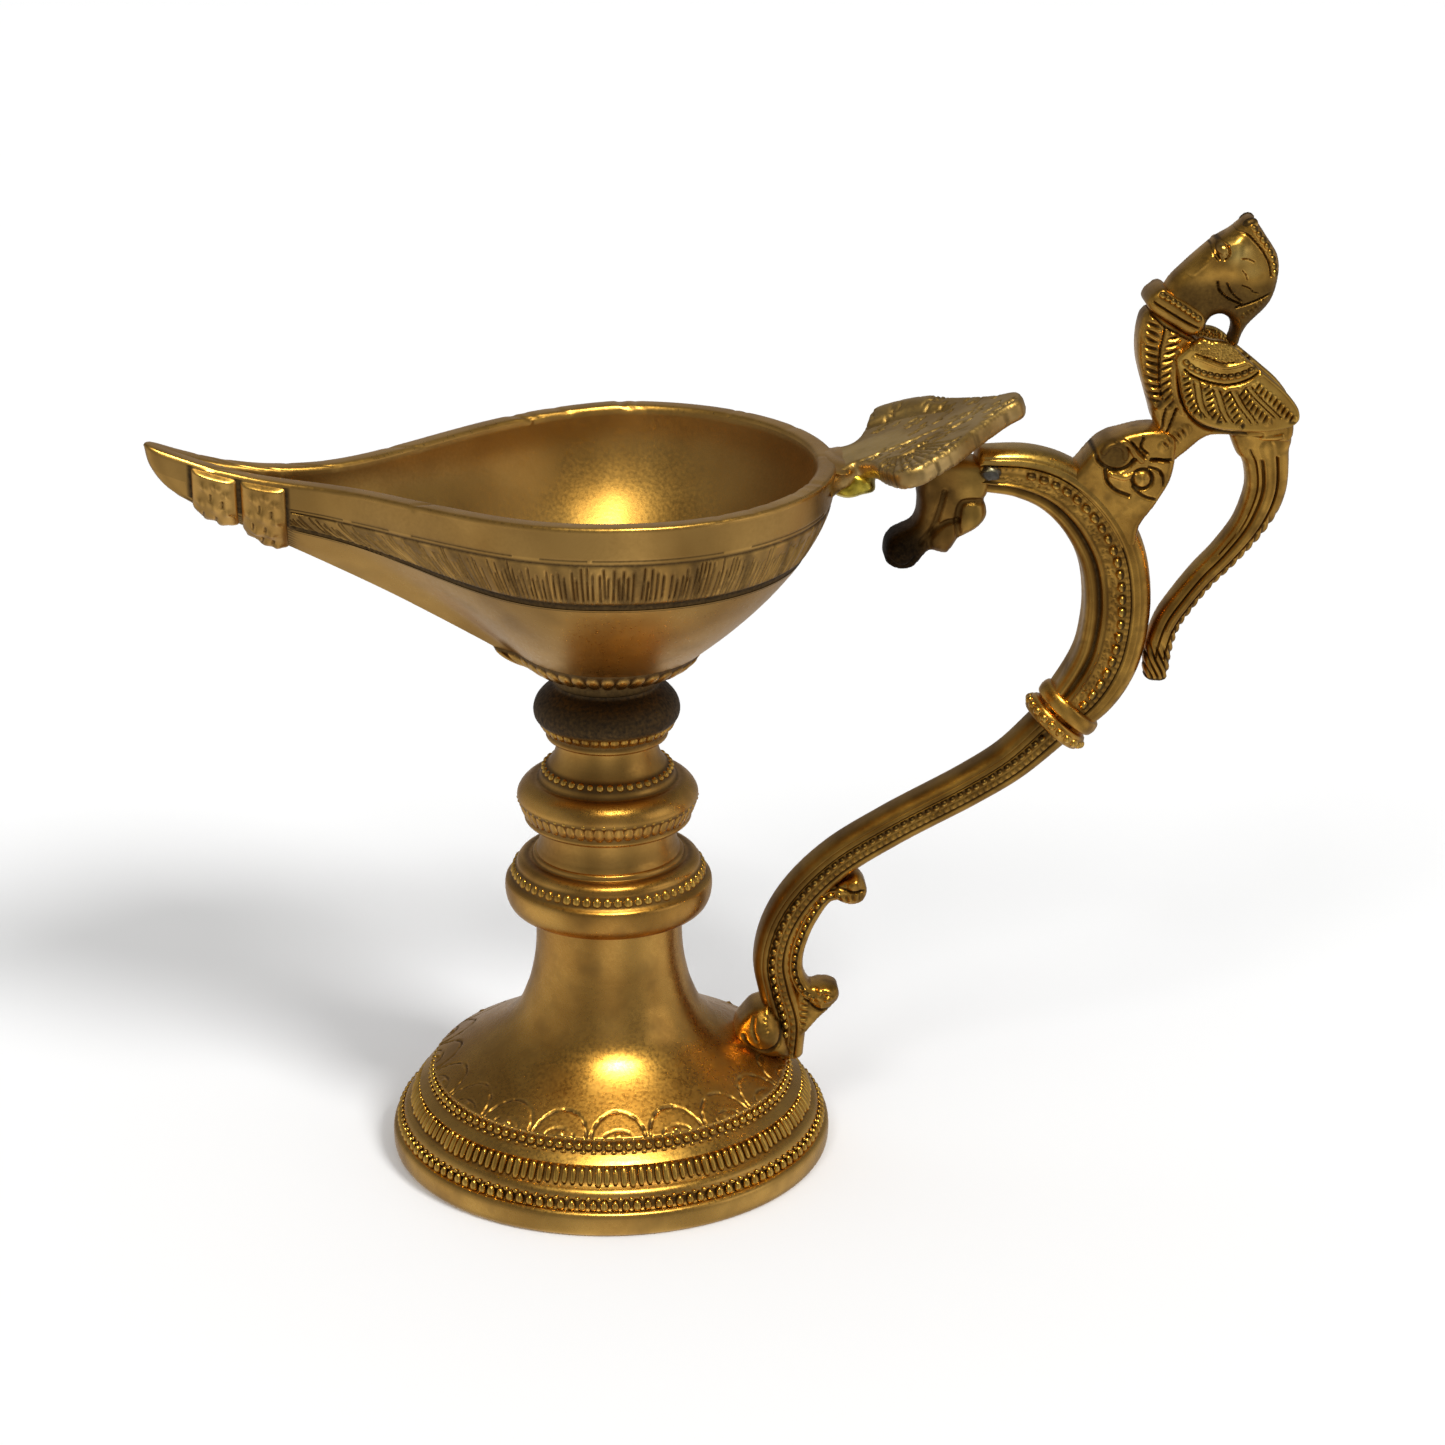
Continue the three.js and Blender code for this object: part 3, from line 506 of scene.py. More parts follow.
@dataclass
class Strap:
    """Cast bar that follows a line in the handle's plane, with both faces carved alike."""

    CAP = (0.93, 0.75, 0.4)

    spine: Places
    widths: Places
    depths: Places
    step: float = 0.3
    samples: int = 40
    square: float = 3.0
    bulge: float = 0.3

    def __post_init__(self) -> None:
        """Works out the line's points, directions and half sizes."""
        self.line = smooth_path(self.spine, self.step)
        self.run = run_along(self.line)
        share = self.run / self.run[-1]
        way = np.gradient(self.line, axis=0)
        way /= np.linalg.norm(way, axis=1)[:, None]
        self.side = np.column_stack([-way[:, 1], way[:, 0]])
        self.wide = table_value(self.widths, share)
        self.deep = table_value(self.depths, share)

    def body(self, carve: Carve) -> Body:
        """Builds the bar.

        Args:
            carve: Raises and cuts the relief of one face, in the run along the bar and
                the place across it as if it were as wide everywhere as at its widest.

        Returns:
            The closed body.
        """
        turn = np.linspace(-np.pi / 2, np.pi / 2, self.samples)
        over = np.sin(turn)
        rise = np.clip(1 - np.abs(over) ** self.square, 0, 1) ** (1 / self.square)
        over = np.r_[over, over[-2:0:-1]]
        rise = np.r_[-rise, rise[-2:0:-1]]
        rings, places = [], []
        for i in range(len(self.line)):
            flat = self.line[i] + np.outer(over * self.wide[i], self.side[i])
            rings.append(np.column_stack([flat[:, 0], rise * self.deep[i], flat[:, 1]]))
            places.append(
                np.column_stack([np.full(len(over), self.run[i]), over * self.wide.max()]))
        caps = [
            self._cap(rings[0], self.line[0] - self.line[1]),
            self._cap(rings[-1], self.line[-1] - self.line[-2])]
        body = skin([*reversed(caps[0]), *rings, *caps[1]])
        relief = Relief(np.vstack(places))
        carve(relief)
        fade = np.tile(np.clip(np.abs(rise) * 1.6, 0, 1), len(rings))
        extra = [sum(len(ring) for ring in cap) for cap in caps]
        body.height = np.pad(relief.height * fade, extra)
        body.tarnish = np.pad(relief.tarnish, extra, mode="edge")
        return body

    def _cap(self, ring: Array, way: Array) -> list[Array]:
        """Rounded end beyond the last ring, in the given direction.

        Args:
            ring: Last ring.
            way: Direction of the end.

        Returns:
            Rings of the end, the last one a point.
        """
        hub = ring.mean(0)
        ahead = np.array((way[0], 0, way[1])) / np.hypot(*way)
        reach = ahead * self.bulge * np.abs(ring - hub).max()
        shrunk = [hub + (ring - hub) * k + reach * math.sqrt(1 - k * k) for k in self.CAP]
        return [*shrunk, (hub + reach)[None]]

    def row(self, over: float, start: float, end: float, sink: float) -> list[Array]:
        """Lines on both faces along the bar, for a row of beads.

        Args:
            over: Place across the bar at its widest.
            start: Share of the run where the row starts.
            end: Share of the run where it ends.
            sink: How deep the line lies under the face.

        Returns:
            One line for each face.
        """
        share = self.run / self.run[-1]
        keep = (share >= start) & (share <= end)
        ratio = over / self.wide.max()
        flat = self.line[keep] + self.side[keep] * (ratio * self.wide[keep])[:, None]
        rise = (1 - abs(ratio) ** self.square) ** (1 / self.square)
        level = rise * self.deep[keep] - sink
        return [np.column_stack([flat[:, 0], side.value * level, flat[:, 1]]) for side in Side]


def pebble(
    sizes: Triple, lean: float = 0.0, power: float = 1.0, fine: int = 10, taper: float = 0.0
) -> Body:
    """Small rounded ornament, dark round its foot.

    Args:
        sizes: Half sizes out of the face, along it and up it.
        lean: Degrees that its top leans inwards.
        power: 1 for an egg shape, less for a squarer one.
        fine: Points round its waist.
        taper: How much narrower it is at its top than at its waist, as a share.

    Returns:
        The closed body.
    """

    def bent(value: Array) -> Array:
        """Sine or cosine made squarer."""
        return np.sign(value) * np.abs(value) ** power

    around = np.linspace(0, 2 * np.pi, fine, endpoint=False)
    near_pole = 1.57
    rings = []
    for up in np.linspace(-np.pi / 2, np.pi / 2, fine // 2 + 2):
        wide = bent(np.cos(up)) if abs(up) < near_pole else 0.0
        ring = np.column_stack([
            wide * bent(np.cos(around)), wide * bent(np.sin(around)),
            np.full(fine, bent(np.sin(up)))])
        rings.append(ring if wide else ring[:1])
    body = skin(rings)
    body.tarnish = blend(0.35, -0.35, body.verts[:, 0])
    scaled = body.verts * sizes
    scaled[:, 1] *= 1 - taper * body.verts[:, 2]
    t = math.radians(lean)
    turned = np.column_stack([
        scaled[:, 0] * math.cos(t) - scaled[:, 2] * math.sin(t), scaled[:, 1],
        scaled[:, 0] * math.sin(t) + scaled[:, 2] * math.cos(t)])
    body.verts = turned
    return body


# ---- Geometry Nodes


class Nodes:
    """Nodes of a tree."""

    def __init__(self, tree: bpy.types.NodeTree) -> None:
        """Takes the tree that the nodes are added to."""
        self.tree = tree

    def node(
        self, kind: str, settings: dict[str, object] | None = None, **feeds: object
    ) -> bpy.types.Node:
        """Adds a node.

        Args:
            kind: Type of the node.
            settings: Properties to set.
            feeds: Sockets or values for its inputs, by name, or by place as i0, i1 and so on.

        Returns:
            The node.
        """
        made = self.tree.nodes.new(kind)
        for key, value in (settings or {}).items():
            setattr(made, key, value)
        for key, value in feeds.items():
            place = int(key[1:]) if key[0] == "i" and key[1:].isdigit() else key.replace("_", " ")
            if isinstance(value, Socket):
                self.tree.links.new(value, made.inputs[place])
            else:
                made.inputs[place].default_value = value
        return made

    def out(self, kind: str, settings: dict[str, object] | None = None, **feeds: object) -> Socket:
        """Adds a node like node() and gives its first output."""
        return self.node(kind, settings, **feeds).outputs[0]

    def math(self, kind: str, one: object, two: object) -> Socket:
        """Result of a Math node on two values."""
        return self.out("ShaderNodeMath", {"operation": kind}, i0=one, i1=two)


class Tree(Nodes):
    """Geometry Nodes tree that is built once and run with different sizes."""

    def __init__(self, name: str, sockets: dict[str, str]) -> None:
        """Makes the tree and its sockets.

        Args:
            name: Name of the tree.
            sockets: Type of each named input.
        """
        super().__init__(bpy.data.node_groups.new(name, "GeometryNodeTree"))
        face = self.tree.interface
        face.new_socket("Geometry", in_out="OUTPUT", socket_type="NodeSocketGeometry")
        face.new_socket("Geometry", in_out="INPUT", socket_type="NodeSocketGeometry")
        for label, kind in sockets.items():
            face.new_socket(label, in_out="INPUT", socket_type="NodeSocket" + kind)
        self.given = self.node("NodeGroupInput").outputs
        self.sink = self.node("NodeGroupOutput")

    def close(self, shape: Socket) -> None:
        """Ends the tree: instances made real, and the finish set.

        Args:
            shape: What the tree has made.
        """
        real = self.out("GeometryNodeRealizeInstances", Geometry=shape)
        done = self.node("GeometryNodeSetMaterial", Geometry=real, Material=self.given["Finish"])
        self.tree.links.new(done.outputs[0], self.sink.inputs[0])

    def run(self, name: str, base: Mesh | None, values: dict[str, object]) -> Mesh:
        """Runs the tree on a mesh.

        Args:
            name: Name of the mesh that comes out.
            base: Mesh that goes in.
            values: Value of each named input.

        Returns:
            A plain mesh, with its faces turned outwards.
        """
        carrier = bpy.data.objects.new(name, base or bpy.data.meshes.new(name))
        bpy.context.scene.collection.objects.link(carrier)
        modifier = carrier.modifiers.new(name, "NODES")
        modifier.node_group = self.tree
        for item in self.tree.interface.items_tree:
            if item.in_out == "INPUT" and item.name in values:
                modifier[item.identifier] = values[item.name]
        graph = bpy.context.evaluated_depsgraph_get()
        mesh = bpy.data.meshes.new_from_object(carrier.evaluated_get(graph))
        carrier.modifiers.remove(modifier)
        bpy.data.objects.remove(carrier)
        face_outwards(mesh)
        return mesh


def end_with_copies(tree: Tree, points: Socket, face: Socket) -> None:
    """Ends a tree with copies of its ornament, each with a random scale about 1.

    Args:
        tree: Tree with the inputs Ornament, Unevenness and Seed.
        points: Points that get a copy.
        face: Turn of each copy.
    """
    low, high = (tree.math(kind, 1.0, tree.given["Unevenness"]) for kind in ("SUBTRACT", "ADD"))
    scale = tree.node(
        "FunctionNodeRandomValue", {"data_type": "FLOAT"}, i2=low, i3=high, Seed=tree.given["Seed"]
    ).outputs[1]
    ornament = tree.node(
        "GeometryNodeObjectInfo", Object=tree.given["Ornament"]).outputs["Geometry"]
    copies = tree.node(
        "GeometryNodeInstanceOnPoints", Points=points, Instance=ornament, Rotation=face, Scale=scale
    )
    tree.close(copies.outputs[0])


def ring_tree() -> Tree:
    """Tree that sets copies of an ornament in a ring round the Z axis.

    Returns:
        The tree.
    """
    tree = Tree(
        "ring_of_ornaments",
        {
            "Ornament": "Object", "Count": "Int", "Radius": "Float", "Level": "Float",
            "Phase": "Float", "Unevenness": "Float", "Seed": "Int", "Finish": "Material"})
    circle = tree.node(
        "GeometryNodeMeshCircle", Vertices=tree.given["Count"], Radius=tree.given["Radius"])
    up = tree.out("ShaderNodeCombineXYZ", Z=tree.given["Level"])
    spin = tree.out("ShaderNodeCombineXYZ", Z=tree.given["Phase"])
    ring = tree.out(
        "GeometryNodeTransform", Geometry=circle.outputs[0], Translation=up, Rotation=spin)
    place = tree.out("GeometryNodeInputPosition")
    level = tree.out(
        "ShaderNodeVectorMath", {"operation": "MULTIPLY"}, i0=place, i1=(1.0, 1.0, 0.0))
    face = tree.out(
        "FunctionNodeAlignRotationToVector", {"axis": "X", "pivot_axis": "Z"}, Vector=level)
    end_with_copies(tree, ring, face)
    return tree


def row_tree() -> Tree:
    """Tree that sets copies of an ornament along lines, at an even pitch.

    Returns:
        The tree.
    """
    tree = Tree(
        "row_of_ornaments",
        {
            "Ornament": "Object", "Pitch": "Float", "Unevenness": "Float", "Seed": "Int",
            "Finish": "Material"})
    lines = tree.out("GeometryNodeMeshToCurve", Mesh=tree.given["Geometry"])
    even = tree.out(
        "GeometryNodeResampleCurve", {"mode": "LENGTH"}, Curve=lines, Length=tree.given["Pitch"])
    way = tree.out("GeometryNodeInputTangent")
    face = tree.out(
        "FunctionNodeAlignRotationToVector", {"axis": "Z", "pivot_axis": "AUTO"}, Vector=way)
    end_with_copies(tree, even, face)
    return tree


def lathe_tree() -> Tree:
    """Tree that turns a closed outline, given as points in the XZ plane, about the Z axis.

    Returns:
        The tree.
    """
    tree = Tree("turned_body", {"Facets": "Int", "Weld": "Float", "Finish": "Material"})
    outline = tree.given["Geometry"]
    count = tree.node("GeometryNodeAttributeDomainSize", Geometry=outline).outputs["Point Count"]
    around = tree.math("ADD", tree.given["Facets"], 1.0)
    sheet = tree.out(
        "GeometryNodeMeshGrid", Size_X=1.0, Size_Y=1.0, Vertices_X=count, Vertices_Y=around)
    index = tree.out("GeometryNodeInputIndex")
    step = tree.math("FLOOR", tree.math("DIVIDE", tree.math("ADD", index, 0.5), around), 0.0)
    place = tree.out("GeometryNodeInputPosition")
    sample = tree.out(
        "GeometryNodeSampleIndex", {"data_type": "FLOAT_VECTOR"}, Geometry=outline, Value=place,
        Index=step)
    split = tree.node("ShaderNodeSeparateXYZ", i0=sample).outputs
    turn = tree.math(
        "MULTIPLY", tree.math("MODULO", index, around),
        tree.math("DIVIDE", 2 * math.pi, tree.given["Facets"]))
    x = tree.math("MULTIPLY", split["X"], tree.math("COSINE", turn, 0.0))
    y = tree.math("MULTIPLY", split["X"], tree.math("SINE", turn, 0.0))
    point = tree.out("ShaderNodeCombineXYZ", X=x, Y=y, Z=split["Z"])
    bent = tree.out("GeometryNodeSetPosition", Geometry=sheet, Position=point)
    shut = tree.out("GeometryNodeMergeByDistance", Geometry=bent, Distance=tree.given["Weld"])
    tree.close(shut)
    return tree


# ---- finishes


class Shader(Nodes):
    """Shader nodes of one material."""

    def __init__(self, name: str) -> None:
        """Starts a material with a Principled BSDF.

        Args:
            name: Name of the material.
        """
        self.material = bpy.data.materials.new(name)
        self.material.use_nodes = True
        super().__init__(self.material.node_tree)
        self.bsdf = self.tree.nodes["Principled BSDF"]
        self.place = self.node("ShaderNodeTexCoord").outputs["Object"]

    def noise(self, size_mm: float, detail: float, stretch: Triple = (1, 1, 1)) -> object:
        """Noise of a given grain, stretched along the axes."""
        place = self.out("ShaderNodeMapping", Vector=self.place, Scale=stretch)
        return self.out("ShaderNodeTexNoise", Vector=place, Scale=1 / (size_mm * MM), Detail=detail)

    def span(self, value: object, low: float, high: float, to_low: float, to_high: float) -> object:
        """Value carried from one range to another, held at its ends."""
        return self.out(
            "ShaderNodeMapRange", Value=value, From_Min=low, From_Max=high, To_Min=to_low,
            To_Max=to_high)

    def mix(self, share: object, one: object, two: object) -> object:
        """Colour between two others."""
        return self.node(
            "ShaderNodeMix", {"data_type": "RGBA"}, Factor=share, i6=one, i7=two).outputs[2]

    def feed(self, socket: str, value: object) -> None:
        """Links a value to the shader."""
        self.tree.links.new(value, self.bsdf.inputs[socket])


@dataclass(frozen=True)
class MetalFinish:
    """Old metal: two blotchy tones, tarnish in the hollows, rubbed edges and a worn grain; the
    stored value also paints shade dark and highlights in the rubbed colour.
    """

    TONES = (0.36, 0.64)
    GRAINS = (0.3, 0.7)
    BUMP = 0.05 * MM
    RING_MM = 2.5
    RING_STRETCH = (0.05, 0.05, 4.0)
    name: str
    slot: str
    bright: Triple
    deep: Triple
    dark: Triple
    roughness: float
    rubbed_and_highlight: Triple = (0.95, 0.66, 0.20)
    blotch_mm: float = 9.0
    grain_mm: float = 0.5
    grain: float = 0.25
    turning: float = 0.0
    soiling: float = 0.3

    def material(self) -> bpy.types.Material:
        """Builds the finish's nodes, or finds them if they are there already.

        Returns:
            The material.
        """
        if self.name in bpy.data.materials:
            return bpy.data.materials[self.name]
        s = Shader(self.name)
        blotch = s.noise(self.blotch_mm, 3.0)
        grain = s.noise(self.grain_mm, 4.0)
        rings = s.noise(self.RING_MM, 3.0, self.RING_STRETCH)
        tone = s.mix(s.span(blotch, *self.TONES, 0, 1), (*self.deep, 1), (*self.bright, 1))
        stored = s.node("ShaderNodeAttribute", {"attribute_name": "tarnish"}).outputs["Fac"]
        tone = s.mix(s.span(stored, -1, 0, 1, 0), tone, (*self.rubbed_and_highlight, 1))
        soil = s.span(s.noise(self.blotch_mm * 0.45, 5.0), 0.5, 0.75, 0, self.soiling)
        ground = s.math("MULTIPLY", stored, s.span(grain, *self.GRAINS, 0.86, 1.0))
        dark = s.math("MULTIPLY", s.math("MAXIMUM", ground, soil), s.span(stored, -0.5, 0, 0.2, 1))
        s.feed("Base Color", s.mix(dark, tone, (*self.dark, 1)))
        plain = s.span(grain, *self.GRAINS, self.roughness - 0.05, self.roughness + 0.07)
        s.feed("Roughness", s.math("ADD", plain, s.math("MULTIPLY", dark, 0.28)))
        s.bsdf.inputs["Metallic"].default_value = 1.0
        fine = s.out("ShaderNodeBump", Strength=self.grain, Distance=self.BUMP, Height=grain)
        if self.turning:
            fine = s.out(
                "ShaderNodeBump", Strength=self.turning, Distance=self.BUMP, Height=rings,
                Normal=fine)
        s.feed("Normal", fine)
        return s.material


SATIN = MetalFinish(
    "satin_turned_brass", "old_brass", (0.86, 0.475, 0.115), (0.62, 0.315, 0.07),
    (0.075, 0.052, 0.032), 0.28, turning=0.25, soiling=0.3)
BOWL_BRASS = MetalFinish(
    "rubbed_bowl_brass", "old_brass", (0.80, 0.465, 0.13), (0.60, 0.33, 0.085),
    (0.06, 0.042, 0.026), 0.31, blotch_mm=14.0, soiling=0.16)
CARVED = MetalFinish(
    "carved_cast_brass", "old_brass", (0.82, 0.45, 0.09), (0.46, 0.235, 0.045),
    (0.045, 0.028, 0.016), 0.27, blotch_mm=5.0, soiling=0.5)
# Lighter brass for beads and wings: raised beads rubbed bright by wear, and lightened further as a
# painted highlight of the lamp on them.
BEADING_WEAR_AND_SHEEN = MetalFinish(
    "worn_beading_brass", "old_brass", (0.95, 0.57, 0.12), (0.74, 0.40, 0.075), (0.05, 0.03, 0.016),
    0.24, blotch_mm=4.0, soiling=0.3)
PLATE_BRASS = MetalFinish(
    "pale_plate_brass", "old_brass", (0.80, 0.54, 0.22), (0.58, 0.36, 0.12), (0.06, 0.035, 0.014),
    0.36, blotch_mm=6.0, grain=0.4, soiling=0.4)
# Darker brown copy of the brass: painted shade for the arch's hanging leaf under the leaf plate;
# its rubbed colour paints the leaf's lit side.
SHADED_BROWN = MetalFinish(
    "brown_cast_brass", "old_brass", (0.42, 0.22, 0.05), (0.20, 0.10, 0.024), (0.022, 0.015, 0.010),
    0.36, (0.85, 0.52, 0.12), blotch_mm=7.0, grain=0.5, soiling=0.7)
BRAZE = MetalFinish(
    "yellow_braze", "braze", (0.84, 0.66, 0.10), (0.64, 0.46, 0.05), (0.12, 0.08, 0.02), 0.3,
    blotch_mm=2.0, grain=0.6, soiling=0.3)
SOLDER = MetalFinish(
    "grey_solder", "solder", (0.27, 0.25, 0.215), (0.15, 0.135, 0.115), (0.05, 0.042, 0.034), 0.4,
    blotch_mm=1.5, grain=0.6, soiling=0.4)
STEEL = MetalFinish(
    "oxidised_steel", "steel", (0.45, 0.45, 0.46), (0.28, 0.27, 0.27), (0.12, 0.06, 0.03), 0.42,
    blotch_mm=2.5, grain=0.4, soiling=0.5)


# ---- making pieces


class Maker:
    """Turns bodies and rows of ornaments into pieces of the scene, on the frame."""

    SHARP = math.radians(55)
    WELD = 0.002

    def __init__(self) -> None:
        """Finds the stem's axis in the frame and builds the node trees."""
        low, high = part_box("stem_lower_knop")
        self.axis = Vector(((low[0] + high[0]) / 2, (low[1] + high[1]) / 2, 0))
        self.rings, self.rows, self.lathes = ring_tree(), row_tree(), lathe_tree()
        self.made = 0

    def settle(self, name: str, mesh: Mesh, finish: MetalFinish, *nodes: str) -> Piece:
        """Puts a finished mesh in the scene, in metres, on the frame's one body.

        Args:
            name: Name of the piece.
            mesh: Its mesh, in millimetres from the stem's axis.
            finish: What it is made of.
            nodes: CAD nodes that it replaces.

        Returns:
            The piece.
        """
        mesh.transform(Matrix.Translation(self.axis) @ Matrix.Scale(MM, 4))
        mesh.materials.clear()
        mesh.materials.append(finish.material())
        mesh.shade_smooth()
        mesh.set_sharp_from_angle(angle=self.SHARP)
        mesh.name = name
        piece = bpy.data.objects.new(name, mesh)
        bpy.context.scene.collection.objects.link(piece)
        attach(piece, "root")
        if nodes:
            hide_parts(*nodes)
        self.made += 1
        log.info("%s: %d faces, %s", name, len(mesh.polygons), finish.name)
        return piece

    def cast(self, name: str, body: Body, finish: MetalFinish, *nodes: str) -> Piece:
        """Piece with the shape of a body, settled like all."""
        return self.settle(name, body.mesh(name), finish, *nodes)

    def turned(
        self, name: str, outline: Places, facets: int, finish: MetalFinish, *nodes: str,
        lay: Matrix | None = None, tarnish: Places = ()
    ) -> Piece:
        """Piece turned from a closed outline of (radius, height) places.

        Args:
            name: Name of the piece.
            outline: The outline, from its lowest place on the bore round to the same place.
            facets: Points round the piece.
            finish: What it is made of.
            nodes: CAD nodes that it replaces.
            lay: Turn and move that lays it in place.
            tarnish: Table of heights and the darkening there: tarnish, and painted shade on the
                upper knop.

        Returns:
            The piece.
        """
        base = bpy.data.meshes.new(name)
        base.from_pydata([(r, 0, z) for r, z in [*outline, outline[0]]], [], [])
        values = {"Facets": facets, "Weld": self.WELD, "Finish": finish.material()}
        mesh = self.lathes.run(name, base, values)
        if tarnish:
            heights, shades = np.array(tarnish).T
            layer = mesh.attributes.new("tarnish", "FLOAT", "POINT")
            layer.data.foreach_set(
                "value", np.interp([v.co.z for v in mesh.vertices], heights, shades))
        if lay is not None:
            mesh.transform(lay)
        return self.settle(name, mesh, finish, *nodes)

    def _repeat(
        self, name: str, tree: Tree, base: Mesh | None, ornament: Body, finish: MetalFinish,
        values: dict[str, object], lay: Matrix | None = None
    ) -> Piece:
        """Piece of repeated ornaments.

        Args:
            name: Name of the piece.
            tree: Tree that sets them.
            base: Mesh that goes into the tree.
            ornament: What is repeated.
            finish: What it is made of.
            values: Value of each named input but the ornament and the finish.
            lay: Turn and move that lays it in place.

        Returns:
            The piece.
        """
        source = bpy.data.objects.new("ornament", ornament.mesh("ornament"))
        bpy.context.scene.collection.objects.link(source)
        mesh = tree.run(name, base, {"Ornament": source, "Finish": finish.material(), **values})
        bpy.data.objects.remove(source)
        if lay is not None:
            mesh.transform(lay)
        return self.settle(name, mesh, finish)

    def ring(
        self, name: str, ornament: Body, count: int, radius: float, level: float,
        finish: MetalFinish = BEADING_WEAR_AND_SHEEN, phase: float = 0.0, uneven: float = 0.05,
        lay: Matrix | None = None
    ) -> Piece:
        """Ring of ornaments round the stem's axis, or round another that lay sets it on.

        Args:
            name: Name of the piece.
            ornament: What is repeated.
            count: How many there are.
            radius: Radius of the ring.
            level: Its height.
            finish: What it is made of.
            phase: Share of one pitch that the ring is turned by.
            uneven: How much the ornaments differ in size.
            lay: Turn and move that lays it in place.

        Returns:
            The piece.
        """
        values = {
            "Count": count, "Radius": radius, "Level": level, "Phase": phase * 2 * math.pi / count,
            "Unevenness": uneven, "Seed": count}
        return self._repeat(name, self.rings, None, ornament, finish, values, lay)

    def row(
        self, name: str, lines: Sequence[Array], ornament: Body, pitch: float,
        finish: MetalFinish = BEADING_WEAR_AND_SHEEN, uneven: float = 0.08
    ) -> Piece:
        """Rows of ornaments along lines.

        Args:
            name: Name of the piece.
            lines: Points of each line.
            ornament: What is repeated, its Z along the line.
            pitch: Distance between two of them.
            finish: What it is made of.
            uneven: How much they differ in size.

        Returns:
            The piece.
        """
        base = bpy.data.meshes.new(name)
        verts = np.vstack(lines)
        edges, first = [], 0
        for line in lines:
            edges += [(first + i, first + i + 1) for i in range(len(line) - 1)]
            first += len(line)
        base.from_pydata(verts.tolist(), edges, [])
        values = {"Pitch": pitch, "Unevenness": uneven, "Seed": len(verts)}
        return self._repeat(name, self.rows, base, ornament, finish, values)

    def keep(self, node: str, finish: MetalFinish) -> None:
        """Gives a CAD node that stays its finish.

        Args:
            node: Name of the node.
            finish: What it is made of.
        """
        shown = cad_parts[node]
        shown.data.materials.clear()
        shown.data.materials.append(finish.material())
        log.info("%s: CAD node kept, %s", node, finish.name)


# ---- foot


